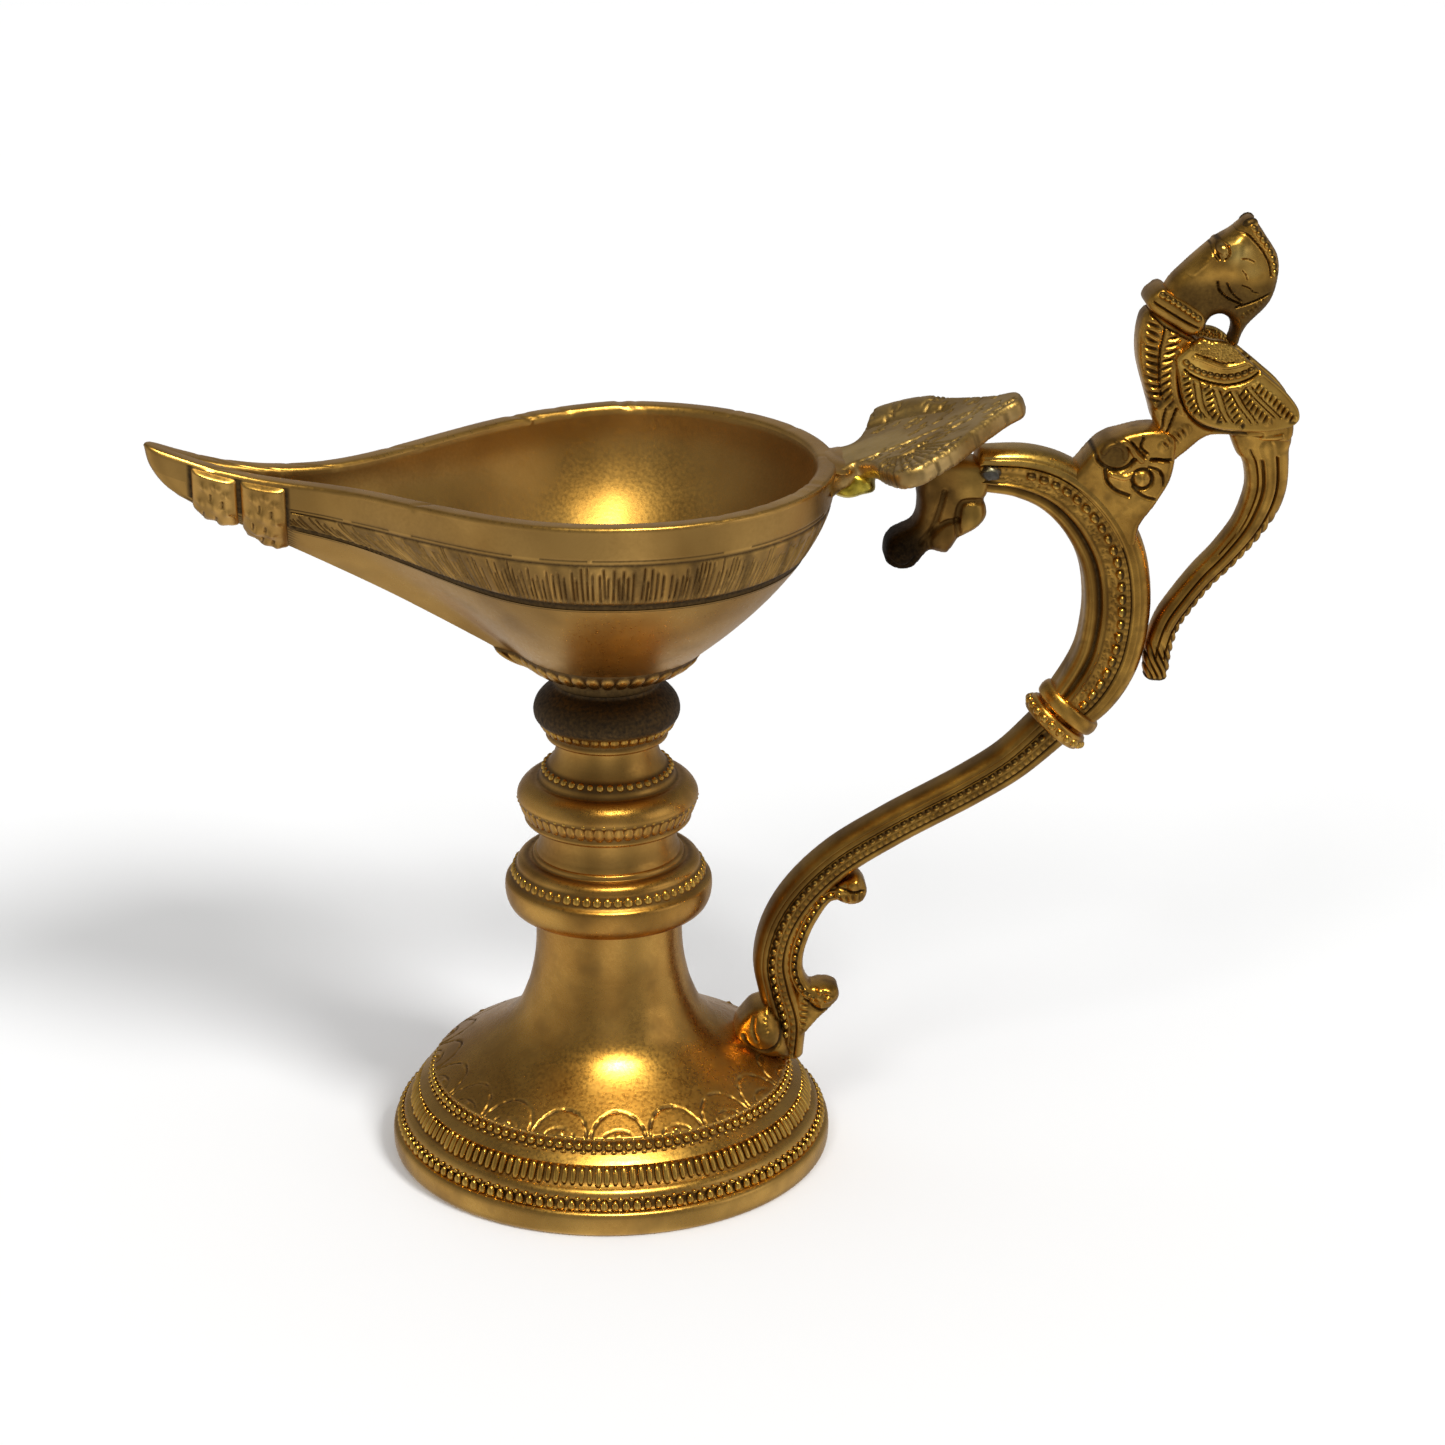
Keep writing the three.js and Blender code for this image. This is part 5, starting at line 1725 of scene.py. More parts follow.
@dataclass
class LeafPlate:
    """Leaf that the thumb rests on, with the braze and the solder that hold it."""

    length: float = 29.0
    half_width: float = 15.75
    thickness: float = 2.9
    tilt: float = 19.0
    start: Triple = (31.15, 0.0, 102.45)
    widths: Places = (
        (0.01, 0.5), (0.045, 0.4), (0.09, 0.34), (0.15, 0.3), (0.2, 0.4), (0.26, 0.7), (0.33, 0.93),
        (0.41, 1), (0.5, 0.9), (0.6, 0.76), (0.75, 0.5), (0.9, 0.24), (1, 0.13))
    cut: float = -0.6
    strokes: int = 230

    def outline(self) -> list[tuple[float, float]]:
        """Outline of the leaf in its own plane, from the rim round the tip and back.

        Returns:
            Places on the outline.
        """
        half = [
            (s * self.length, w * self.half_width)
            for s, w in self.widths
            if s * self.length > self.cut]
        half.insert(0, (self.cut, 0.6 * self.half_width))
        near = [
            (x + 0.3 * math.sin(2.1 * y), -y + 0.3 * math.sin(1.7 * x)) for x, y in reversed(half)]
        return half + near

    def carve(self, relief: Relief) -> None:
        """Chisels fine strokes that fan to the tip, beside a pale strip from the rim.

        Args:
            relief: Relief of the face.
        """
        rng = np.random.default_rng(21)
        x, y = relief.points.T
        strip = blend(13.5, 11.0, x) * blend(4.2, 3.2, np.abs(y))
        for _ in range(self.strokes):
            start = np.array((rng.uniform(5.5, 27), rng.uniform(-15, 15)))
            if abs(start[1]) < 3.4 and start[0] < 12:
                continue
            turn = math.radians(36 + start[1] * 1.6 + rng.uniform(-18, 18))
            way = np.array((math.cos(turn), math.sin(turn))) * rng.uniform(0.7, 2.0)
            deep = rng.uniform(0.1, 0.3)
            relief.groove(
                (start, start + way / 2 + rng.uniform(-0.08, 0.08, 2), start + way),
                rng.uniform(0.2, 0.34), deep, 2.6 * deep)
        for turn in np.radians(np.linspace(-128, -32, 12)):
            way = np.array((math.cos(turn), math.sin(turn)))
            relief.groove(
                [np.array((10.5, -5.0)) + way * reach for reach in (3.2, 5.8, 9.5)], 0.26, 0.26,
                0.65)
        relief.groove(((5.2, -4.4), (8.0, -4.0), (12.0, -3.4), (17.0, -2.4)), 0.3, 0.3, 0.8)
        for centre in ((10.0, 12.6), (13.5, 11.6), (16.5, 9.6)):
            relief.swell(centre, 2.6, 0.8)
        relief.groove(((7.6, 9.0), (11.0, 8.6), (15.0, 7.2), (18.5, 5.0)), 1.3, 0.4, 0.55)
        # Painted shade: darker towards the tip and towards the far side.
        shade = 0.12 * blend(14, 20, x) + 0.18 * blend(1.5, 4.0, y)
        relief.darken(shade)
        relief.tarnish -= 0.35 * strip

    def lump(self, centre: Triple, sizes: Triple, seed: int) -> Body:
        """Uneven run of filler metal.

        Args:
            centre: Its middle.
            sizes: Its half sizes.
            seed: Seed of its ripples.

        Returns:
            The closed body.
        """
        body = pebble((1, 1, 1), power=0.85, fine=36)
        rng = np.random.default_rng(seed)
        waves = rng.uniform(2, 5, (6, 3))
        phase = rng.uniform(0, 6, 6)
        ripple = sum(np.sin(body.verts @ waves[i] + phase[i]) for i in range(6))
        body.verts = np.array(centre) + body.verts * np.array(sizes) * (1 + 0.045 * ripple[:, None])
        body.tarnish = 0.25 * blend(0.5, 3, -ripple)
        return body

    def build(self, maker: Maker) -> None:
        """Makes the leaf plate, the braze in its corner and the solder behind it.

        Args:
            maker: Makes and settles the pieces.
        """
        t = math.radians(self.tilt)
        plane = Plane(
            self.start, (math.cos(t), 0, math.sin(t)), (0, 1, 0), (-math.sin(t), 0, math.cos(t)))
        slab = Slab(self.outline(), self.thickness / 2, edge=0.9, cell=0.26, plane=plane)
        maker.cast("leaf_plate_casting", slab.body(self.carve), PLATE_BRASS, "leaf_plate")
        for name, centre, sizes, seed, finish, nodes in (
            ("leaf_plate_fillet", (32.7, 0, 104.05), (2.3, 6.0, 0.8), 9, BOWL_BRASS, ()),
            ("leaf_plate_braze", (34.6, 0, 101.7), (3.6, 5.2, 2.2), 3, BRAZE, ("leaf_braze",)),
            ("arch_solder", (53.9, -3.5, 102.9), (1.4, 1.0, 1.0), 5, SOLDER, ("plate_solder",))
        ):
            maker.cast(name, self.lump(centre, sizes, seed), finish, *nodes)


# ---- arch and collar


@dataclass
class Arch:
    """Round arch of the handle, the curled leaf at its end and the collar at its foot."""

    spine: Places = (
        (52.7, 102.9), (58.8, 102.3), (63.6, 100.4), (68.1, 96.4), (71.7, 90.2), (72.9, 83.1),
        (72.3, 76.5), (71.3, 73.2), (69.2, 69.5), (65.5, 65.3))
    widths: Places = (
        (0, 2.94), (0.07, 3.23), (0.15, 3.68), (0.32, 4.31), (0.49, 4.7), (0.66, 4.75),
        (0.83, 4.66), (1, 3.63))
    depths: Places = ((0, 3.3), (0.1, 3.6), (0.5, 3.6), (1, 3.6))
    pendant: Places = (
        (45.3, 104.2), (44.1, 102.4), (43.9, 100.2), (44.1, 98.2), (43.9, 96.1), (43.2, 94.9),
        (41.6, 94.1), (40.5, 93.5), (39.7, 92.5), (39.4, 91.3), (39.5, 89.8), (40.5, 88.9),
        (41.9, 88.6), (43.3, 88.9), (44.3, 89.9), (45.1, 90.9), (45.8, 91.3), (47.0, 91.0),
        (48.0, 90.9), (48.8, 91.7), (49.6, 92.9), (50.6, 93.5), (51.7, 94.1), (52.9, 95.1),
        (53.6, 96.3), (53.5, 97.6), (53.2, 98.6), (53.6, 99.4), (54.0, 101.0), (53.2, 103.6))
    collar_at: Triple = (65.52, 0.0, 65.3)
    collar_radius: float = 5.1

    def carve_arch(self, relief: Relief) -> None:
        """Inner rim, dark channel, fine ridge, punched band, and a plain outer half with one line.

        Args:
            relief: Relief of the face.
        """
        run, over = relief.points.T
        long = run.max()
        relief.ridge(lengthwise(relief, -4.1), 0.7, 0.4)
        relief.groove(lengthwise(relief, -3.1), 0.48, 0.5)
        relief.ridge(lengthwise(relief, -2.2), 0.38, 0.3)
        relief.groove(lengthwise(relief, -1.78), 0.16, 0.15, 0.8)
        relief.punch(blend(-1.75, -1.5, over) * blend(-0.3, -0.5, over), 0.55, 0.3, 11)
        relief.groove(lengthwise(relief, 0.2), 0.7, 0.2, 0.4)
        relief.ribs(lengthwise(relief, 1.05), 0.4, 0.95, 0.16)
        relief.groove(lengthwise(relief, 1.62), 0.22, 0.3)
        relief.groove(lengthwise(relief, 3.0), 0.14, 0.14, 0.7)
        relief.darken(0.22 * blend(-1.6, -2.2, over))
        relief.tarnish -= 0.4 * blend(1.9, 2.3, over) * blend(0.45 * long, 0.1 * long, run)

    def carve_pendant(self, relief: Relief) -> None:
        """Cuts the leaf's lobes and veins and the rim of its knob.

        Args:
            relief: Relief of the face.
        """
        for places, half in (
            (((44.2, 92.8), (46.0, 95.2), (46.7, 97.5), (47.4, 100.2)), 0.36),
            (((49.6, 93.3), (49.3, 96.0), (49.9, 98.5), (51.2, 98.8), (53.2, 98.6)), 0.4),
            (((45.6, 91.5), (45.4, 93.2), (46.4, 94.8), (47.9, 95.8), (49.3, 96.0)), 0.36),
            (((39.7, 90.4), (40.7, 89.5), (42.3, 89.4), (43.4, 90.6)), 0.32)
        ):
            relief.groove(places, 1.5 * half, 0.45, 0.6)
        for centre, radius, height in (
            ((51.3, 96.0), 1.8, 0.7), ((47.4, 93.4), 1.6, 0.6), ((42.0, 91.3), 1.6, 0.6),
            ((47.0, 98.6), 1.9, 0.5), ((51.0, 100.8), 1.7, 0.4), ((45.0, 101.5), 1.3, 0.4)
        ):
            relief.swell(centre, radius, height)
        x, z = relief.points.T
        # Painted shade on the left and lower parts, and a painted highlight towards the right.
        shade = 0.7 * blend(47.5, 42.5, x) + 0.4 * blend(96.0, 91.0, z)
        relief.darken(shade)
        relief.tarnish -= 0.45 * blend(48.0, 51.5, x)

    def build(self, maker: Maker) -> None:
        """Makes the arch, its hanging leaf and its collar.

        Args:
            maker: Makes and settles the pieces.
        """
        strap = Strap(self.spine, self.widths, self.depths, samples=52)
        maker.cast("arch_casting", strap.body(self.carve_arch), CARVED, "handle_arch")
        maker.row("arch_beads", strap.row(0.2, 0.13, 0.97, -0.1), pebble((0.6, 0.58, 0.72)), 1.85)
        slab = Slab(self.pendant, 3.2, edge=1.4, cell=0.22, crown=0.2)
        # The hanging leaf takes the shaded brown brass: painted shade under the leaf plate.
        maker.cast("arch_end_leaf_casting", slab.body(self.carve_pendant), SHADED_BROWN, "arch_end_leaf")
        way = strap.line[-1] - strap.line[-2]
        turn = Vector((way[0], 0, way[1])).to_track_quat("Z", "Y").to_matrix().to_4x4()
        lay = Matrix.Translation(self.collar_at) @ turn
        r = self.collar_radius
        for name, node, middle in (
            ("upper", "collar_upper_ring", -1.4), ("lower", "collar_lower_ring", 1.4)
        ):
            places = [
                (r * 0.84, middle - 1.25), (r * 0.95, middle - 1.0), (r, middle - 0.2),
                (r, middle + 0.2), (r * 0.95, middle + 1.0), (r * 0.84, middle + 1.25)]
            outside = smooth_path(places, 0.2).tolist()
            outline = [(0.0, middle - 1.25), *map(tuple, outside), (0.0, middle + 1.25)]
            maker.turned(f"collar_{name}_turning", outline, 64, CARVED, node, lay=lay)
        maker.ring("collar_beads", pebble((0.6, 0.72, 0.66)), 20, r - 0.12, 1.4, lay=lay)


# ---- bar, scroll and bract


@dataclass
class Bar:
    """Bar of the handle, the beaded scroll inside its bend and the bract on the foot."""

    spine: Places = (
        (25.6, 13.2), (25.9, 18.4), (24.6, 23.7), (23.9, 28), (24.9, 33.1), (27.7, 38.2),
        (33, 43.6), (41, 48.7), (52.5, 54.9), (58.3, 58.6), (64.2, 64.0))
    widths: Places = ((0, 2.85), (0.8, 2.85), (1, 3.25))
    depths: Places = ((0, 3.0), (0.5, 3.0), (1, 3.0))
    scroll: Places = (
        (34.6, 38.8), (31.7, 38.5), (29.3, 35.4), (27.9, 32.4), (27, 29), (27.1, 26), (28.4, 23.4),
        (30.2, 22.3))
    upper_curl: Places = (
        (33.4, 37.6), (35.0, 37.0), (36.7, 37.3), (37.5, 38.6), (37.3, 40.2), (36.2, 41.5),
        (35.0, 41.2), (33.0, 39.9), (32.2, 38.6))
    lower_curl: Places = (
        (28.2, 24.4), (29.6, 24.1), (31.4, 24.3), (33.3, 23.7), (33.6, 22.2), (32.4, 20.6),
        (30.6, 18.8), (28.6, 16.4), (27.6, 15.4), (26.8, 17.6), (26.9, 20.9), (27.4, 23.2))
    bract: Places = (
        (20.8, 20.9), (19.6, 19.6), (18.6, 18.2), (18.3, 16.8), (19.2, 15.4), (20.7, 14.2),
        (22.7, 13.3), (25.2, 13.2), (26.3, 13.4), (26.0, 15.7), (25.4, 18.0), (24.6, 19.8),
        (23.1, 21.6), (22.1, 21.4))

    def carve_bar(self, relief: Relief) -> None:
        """Smooth outer part with two fine lines, a channel for the beads, ribs along the edge.

        Args:
            relief: Relief of the face.
        """
        relief.groove(lengthwise(relief, 0.35), 0.62, 0.25, 0.9)
        relief.groove(lengthwise(relief, -0.42), 0.16, 0.15, 0.8)
        relief.ribs(lengthwise(relief, -0.95), 0.45, 1.1, 0.28)
        relief.groove(lengthwise(relief, -1.6), 0.24, 0.3)
        relief.groove(lengthwise(relief, 1.1), 0.16, 0.2, 0.9)
        relief.groove(lengthwise(relief, 1.95), 0.13, 0.12, 0.6)
        over = relief.points[:, 1]
        relief.darken(0.3 * blend(0.9, 1.3, over) + 0.15)

    def carve_scroll(self, relief: Relief) -> None:
        """Cuts a line along the strip beside its beads."""
        relief.groove(lengthwise(relief, 0), 0.55, 0.25, 0.9)
        relief.groove(lengthwise(relief, -0.95), 0.2, 0.25)

    def carve_upper_curl(self, relief: Relief) -> None:
        """Smooth drop above, short ribs below.

        Args:
            relief: Relief of the face.
        """
        relief.dome((35.6, 40.4), 1.1, 0.5)
        relief.groove(((31.4, 39.4), (33.4, 39.9), (35.3, 39.3), (37.0, 39.4)), 0.26, 0.4)
        relief.ribs(((32.2, 37.6), (33.7, 38.1), (35.3, 38.4), (36.5, 38.4)), 0.7, 0.95, 0.4)

    def carve_lower_curl(self, relief: Relief) -> None:
        """Three bumps, a ring and short ribs down to the root.

        Args:
            relief: Relief of the face.
        """
        for centre, radius in (((32.0, 23.6), 0.75), ((31.9, 22.3), 0.6), ((30.8, 23.6), 0.6)):
            relief.dome(centre, radius, 0.5)
        for centre in ((32.6, 22.6), (31.4, 22.2), (30.4, 22.6), (30.9, 21.4)):
            relief.swell(centre, 0.6, 0.35)
        relief.groove(((28.2, 23.2), (29.3, 21.6), (30.6, 20.6), (32.2, 20.6)), 0.28, 0.4)
        relief.ribs(((28.9, 23.8), (28.7, 21.8), (28.4, 19.6), (27.8, 16.8)), 0.7, 1.0, 0.35)

    def carve_bract(self, relief: Relief) -> None:
        """Round bud with a dark fold below it and tiny beads down its side.

        Args:
            relief: Relief of the face.
        """
        relief.swell((22.4, 17.4), 2.0, 1.0)
        relief.groove(
            (
                (24.6, 20.6), (25.0, 18.4), (24.6, 16.4), (23.0, 15.2), (21.2, 15.3), (19.8, 16.4),
                (19.4, 17.6)),
            0.42, 0.6)
        relief.groove(((21.0, 20.2), (20.8, 18.6), (21.3, 17.0)), 0.3, 0.35, 0.8)
        relief.ridge(((20.2, 15.0), (21.8, 14.2), (24.2, 14.0), (25.8, 14.3)), 0.5, 0.3)
        relief.ribs(((22.9, 20.6), (22.6, 19.4), (22.9, 18.2)), 0.35, 0.6, 0.25)
        x, z = relief.points.T
        relief.darken(0.6 * blend(2.2, 1.2, np.hypot(x - 22.4, z - 17.2)))
        # Painted shade along the lower edge, where the bract overhangs the foot.
        relief.darken(0.6 * blend(15.4, 14.2, z))

    def build(self, maker: Maker) -> None:
        """Makes the bar, its scroll and the bract at its foot.

        Args:
            maker: Makes and settles the pieces.
        """
        bar = Strap(self.spine, self.widths, self.depths, step=0.25, samples=52)
        maker.cast("bar_casting", bar.body(self.carve_bar), CARVED, "handle_bar")
        maker.row("bar_beads", bar.row(0.35, 0.36, 0.97, 0.0), pebble((0.44, 0.5, 0.5)), 1.28)
        maker.row(
            "bar_lower_beads", bar.row(0.35, 0.05, 0.35, -0.05), pebble((0.52, 0.6, 0.56)), 1.42)
        strip = Strap(
            self.scroll, ((0, 1.0), (0.15, 1.35), (0.9, 1.35), (1, 1.2)),
            ((0, 2.3), (0.5, 2.5), (1, 2.5)), step=0.2, samples=30)
        maker.cast("scroll_casting", strip.body(self.carve_scroll), CARVED, "bar_scroll")
        maker.row("scroll_beads", strip.row(0.0, 0.05, 0.98, 0.02), pebble((0.44, 0.46, 0.5)), 1.2)
        for name, places, carve in (
            ("upper", self.upper_curl, self.carve_upper_curl),
            ("lower", self.lower_curl, self.carve_lower_curl)
        ):
            maker.cast(f"scroll_{name}_curl", Slab(places, 2.6, 1.2, 0.18).body(carve), CARVED)
        roll = Slab(self.bract, 4.5, 2.4, 0.2)
        maker.cast("bract_casting", roll.body(self.carve_bract), CARVED, "handle_bract")


# ---- bird


@dataclass
class Bird:
    """Bird with its perch: breast, beaded neck band, head, two wings and a long tail."""

    perch: Places = (
        (65.1, 101), (67, 103.9), (69.6, 106.7), (71.8, 107.6), (77, 108.5), (79.7, 107.5),
        (80, 104.4), (79.4, 101), (77.6, 97.7), (75.3, 94.3), (74.7, 91.4), (72, 90.9), (68.5, 96.8)
    )
    torso: Places = (
        (77.6, 104.6), (76.9, 106.2), (77.4, 108.0), (76.7, 110.0), (76.3, 111.4), (75.7, 113.4),
        (75.0, 115.7), (74.4, 118.1), (74.2, 120.5), (74.4, 123.1), (74.9, 124.7), (75.8, 125.4),
        (78.4, 123.9), (82.6, 121.2), (85.7, 119.5), (88.5, 118.6), (92, 115.1), (95.3, 111.2),
        (96.7, 108.8), (96.3, 106.2), (92.5, 106.2), (88.5, 107.1), (84.5, 107.1), (81.2, 104.6),
        (79.1, 103.2))
    head: Places = (
        (76.6, 126.8), (77.9, 128.5), (78.7, 129.7), (80.6, 131.6), (82.8, 133.6), (84.9, 135.3),
        (86.8, 136.4), (87.9, 137.3), (88.9, 138.1), (89.5, 138.2), (90.0, 137.8), (90.7, 136.9),
        (91.7, 135.4), (92.6, 134.1), (93.3, 132.8), (93.6, 131.2), (93.5, 129.6), (93.2, 128.0),
        (92.6, 126.4), (91.7, 125.2), (90.5, 124.0), (89.4, 122.8), (88.7, 121.4), (88.3, 120.2),
        (87.5, 119.9), (87.1, 120.6), (87.4, 121.7), (87.5, 122.9), (86.9, 124.0), (85.7, 124.6),
        (84.5, 124.3), (83.8, 123.4), (83.6, 122.4), (82.6, 122.2), (80.5, 123.6), (78.0, 125.2))
    wing: Places = (
        (79.2, 119.0), (79.6, 116.7), (80.2, 113.7), (81.2, 111.4), (82.7, 110.0), (84.7, 109.1),
        (87.7, 108.6), (91.6, 108.3), (94.6, 108.6), (96.3, 109.2), (96.9, 109.9), (96.8, 111.3),
        (95.3, 113.5), (92.2, 116.3), (89.1, 118.9), (87.0, 120.8), (85.6, 121.5), (84.1, 121.7),
        (82.9, 122.0), (81.7, 121.4), (80.2, 120.2))
    tail: Places = (
        (92.3, 107.7), (93.4, 102.5), (93.4, 98.7), (91.6, 94.0), (88.1, 89.3), (85.0, 86.0),
        (82.4, 82.6), (80.3, 79.3), (79.1, 75.2), (78.8, 71.3))
    tail_widths: Places = (
        (0, 4.4), (0.06, 4.0), (0.12, 3.2), (0.28, 2.75), (0.42, 2.2), (0.6, 1.95), (0.8, 1.95),
        (0.94, 1.95), (1, 1.7))
    band: Places = (
        (76.0, 128.1), (77.3, 128.8), (78.9, 127.8), (80.9, 126.7), (82.8, 125.3), (83.4, 124.2),
        (83.0, 122.9), (82.0, 122.0), (81.1, 122.1), (79.1, 123.4), (77.1, 124.6), (75.6, 125.7),
        (75.1, 126.6), (75.4, 127.5))
    half: float = 2.7
    wing_half: float = 0.85
    wing_middle: float = 3.75

    def carve_perch(self, relief: Relief) -> None:
        """Volute with a dark disc, a ringed boss, curls, a slit and the ribbed leg.

        Args:
            relief: Relief of the face.
        """
        relief.groove(
            (
                (71.8, 108.4), (70.0, 108.0), (68.9, 107.2), (68.5, 105.8), (69.0, 104.3),
                (70.2, 103.3), (71.8, 102.9), (73.2, 103.4), (74.1, 104.4)),
            0.38, 0.55)
        disc = np.hypot(*(relief.points - (71.2, 105.2)).T)
        relief.ridge(
            ((69.7, 105.5), (70.4, 106.4), (71.7, 106.6), (72.7, 105.8), (72.8, 104.7)), 0.42, 0.4)
        relief.darken(0.75 * blend(2.3, 1.9, disc))
        relief.ridge(
            ((71.1, 107.3), (72.5, 107.0), (73.5, 106.3), (74.1, 105.1), (75.1, 104.2)), 0.42, 0.45)
        relief.groove(((73.5, 106.9), (74.5, 105.8), (75.6, 104.6)), 0.25, 0.35)
        relief.ridge(((71.0, 102.3), (72.8, 101.8), (74.0, 102.2)), 0.45, 0.4)
        relief.swell((75.3, 101.5), 0.9, 0.6)
        relief.ring((75.3, 101.5), 1.4, 0.35, 0.5)
        relief.groove(((70.0, 102.9), (70.4, 101.2), (71.5, 100.0), (73.5, 99.1)), 0.34, 0.5)
        relief.groove(((74.0, 100.4), (74.6, 99.7), (75.7, 98.9), (77.3, 98.4)), 0.3, 0.45)
        relief.groove(((76.2, 103.2), (77.6, 102.7), (78.2, 101.7), (78.4, 100.4)), 0.28, 0.4)
        relief.groove(((76.5, 104.3), (79.3, 104.1)), 0.34, 0.8)
        relief.ribs(((81.4, 108.4), (80.3, 108.0), (79.1, 107.2), (78.0, 106.2)), 0.8, 0.8, 0.4)
        relief.groove(((75.3, 107.6), (74.9, 106.2), (75.9, 105.2)), 0.25, 0.4)

    def carve_torso(self, relief: Relief) -> None:
        """Two columns of short feathers that fill the breast, a plain border and the leg.

        Args:
            relief: Relief of the face.
        """
        left = (
            (76.1, 124.1), (76.1, 122.5), (75.9, 121.2), (76.0, 120.0), (76.1, 118.8),
            (76.2, 117.6), (76.2, 116.3), (76.4, 114.8), (76.7, 113.6), (77.0, 112.4))
        right = (
            (79.3, 122.2), (78.8, 120.6), (78.5, 119.2), (78.2, 118.1), (78.1, 116.9),
            (78.1, 115.7), (78.2, 114.4), (78.5, 113.2), (78.9, 112.0))
        relief.ribs(left, 1.15, 1.1, 0.55, -0.4)
        relief.ribs(right, 0.95, 1.1, 0.5, 0.5)
        relief.tarnish *= 1.25
        relief.groove(
            [((a + c) / 2 + 0.05, (b + d) / 2) for (a, b), (c, d) in zip(left, right)], 0.2, 0.35)
        relief.ridge(
            (
                (80.0, 119.6), (79.5, 117.8), (79.4, 116.2), (79.6, 114.4), (80.1, 112.7),
                (80.8, 111.0)),
            0.5, 0.3)
        relief.groove(
            ((80.5, 117.8), (80.2, 115.0), (80.8, 112.2), (82.8, 109.5), (86, 108.0), (92, 107.4)),
            0.35, 0.5)
        relief.groove(((75.7, 125.2), (77.9, 123.3), (81.3, 121.4)), 0.25, 0.35)
        relief.groove(((78.4, 111.5), (78.1, 110.3), (77.9, 108.9), (77.4, 107.9)), 0.24, 0.4)
        relief.groove(((79.8, 111.4), (79.3, 109.9), (78.7, 108.3), (77.6, 106.6)), 0.24, 0.4)
        relief.ribs(((81.2, 108.4), (80.0, 107.4), (79.1, 106.2), (78.2, 105.0)), 0.9, 0.8, 0.35)
        relief.ridge(((87.9, 107.3), (90.1, 106.7), (92.7, 106.7), (94.9, 107.1)), 0.4, 0.3)

    def carve_head(self, relief: Relief) -> None:
        """Almond eye, beak and cheek lines, and the crest's edge.

        Args:
            relief: Relief of the face.
        """
        for places, half, depth in (
            (((84.9, 135.3), (84.4, 134.5), (84.5, 133.7), (84.9, 132.9)), 0.17, 0.3),
            (
                ((85.1, 135.4), (85.9, 134.7), (86.2, 134.1), (86.1, 133.3), (85.5, 132.8)), 0.17,
                0.3),
            (((84.5, 135.4), (83.9, 134.5), (84.0, 133.6), (84.5, 132.7)), 0.12, 0.18),
            (((87.8, 133.0), (88.7, 132.9), (89.7, 132.4)), 0.15, 0.22),
            (((88.0, 131.3), (88.5, 130.7), (88.8, 129.9)), 0.14, 0.2),
            (((88.1, 129.1), (89.3, 128.6), (89.7, 128.1), (90.5, 127.9)), 0.15, 0.25),
            (((84.7, 129.7), (85.0, 128.5), (86.2, 127.3), (88.2, 126.3)), 0.22, 0.4),
            (((86.0, 129.5), (86.6, 128.3), (87.4, 127.4), (88.2, 126.8)), 0.18, 0.3),
            (((87.5, 125.9), (89.4, 126.5), (91.1, 127.2), (92.3, 127.8)), 0.2, 0.4),
            (
                (
                    (87.3, 136.6), (88.5, 136.3), (89.4, 135.5), (90.5, 134.3), (91.3, 133.1),
                    (91.9, 131.8), (92.2, 130.2)),
                0.2, 0.35)
        ):
            relief.groove(places, half, depth)
        relief.swell((86.9, 131.6), 2.6, 0.8)
        relief.swell((87.6, 134.0), 1.5, 0.5)
        relief.swell((83.4, 131.0), 1.8, 0.4)
        relief.swell((85.0, 134.9), 0.9, 0.35)
        relief.dome((85.3, 134.1), 0.7, 0.45)
        relief.ribs(((88.7, 124.8), (89.8, 125.5), (90.6, 126.2), (91.6, 126.9)), 0.42, 0.75, 0.35)
        relief.ridge(((81.2, 131.4), (83.0, 133.0), (84.6, 134.6)), 0.9, 0.25)
        x, z = relief.points.T
        # Painted shade over the head's lower half, and painted highlights on the brow beside the
        # eye and on the cheek.
        relief.darken(0.8 * blend(131.5, 128.5, z) * blend(78.0, 80.0, x))
        relief.tarnish -= 0.9 * np.exp(-(((x - 87.4) / 1.9) ** 2 + ((z - 133.8) / 1.4) ** 2))
        relief.tarnish -= 0.5 * np.exp(-(((x - 89.5) / 1.6) ** 2 + ((z - 130.5) / 1.6) ** 2))

    def carve_wing(self, relief: Relief) -> None:
        """Punched shoulder, arcs round the bead row, a plain ridge and rows of ribbed feathers.

        Args:
            relief: Relief of the face.
        """
        feathers = (
            ((80.6, 116.9), (80.8, 115.5), (81.1, 113.9), (81.7, 112.4), (82.6, 111.0)),
            ((83.4, 115.4), (84.0, 114.0), (84.2, 112.6), (84.6, 111.3), (85.6, 110.3)),
            ((86.2, 114.3), (86.7, 113.3), (87.4, 111.9), (87.9, 110.9), (88.6, 109.4)),
            ((88.4, 114.5), (89.1, 113.5), (90.0, 112.2), (91.1, 111.2), (92.5, 109.9)),
            (
                (90.5, 115.3), (91.5, 114.2), (92.8, 113.2), (93.8, 112.2), (95.1, 110.9),
                (95.9, 110.1)))
        for feather in feathers:
            relief.ribs(feather, 0.68, 0.86, 0.5, 0.3, 0.8)
        relief.tarnish = np.maximum(relief.tarnish + 0.3, -0.5)
        for one, two in zip(feathers, feathers[1:]):
            between = [((a + c) / 2, (b + d) / 2) for (a, b), (c, d) in zip(one, two)]
            relief.groove([(x - 0.45, z) for x, z in between], 0.14, 0.25, 0.9)
            relief.groove([(x + 0.45, z) for x, z in between], 0.14, 0.25, 0.9)
        arc = (
            (80.4, 117.6), (81.2, 116.9), (82.8, 116.1), (84.4, 115.6), (86.3, 115.3),
            (88.3, 115.6), (89.9, 116.3), (90.9, 117.1))
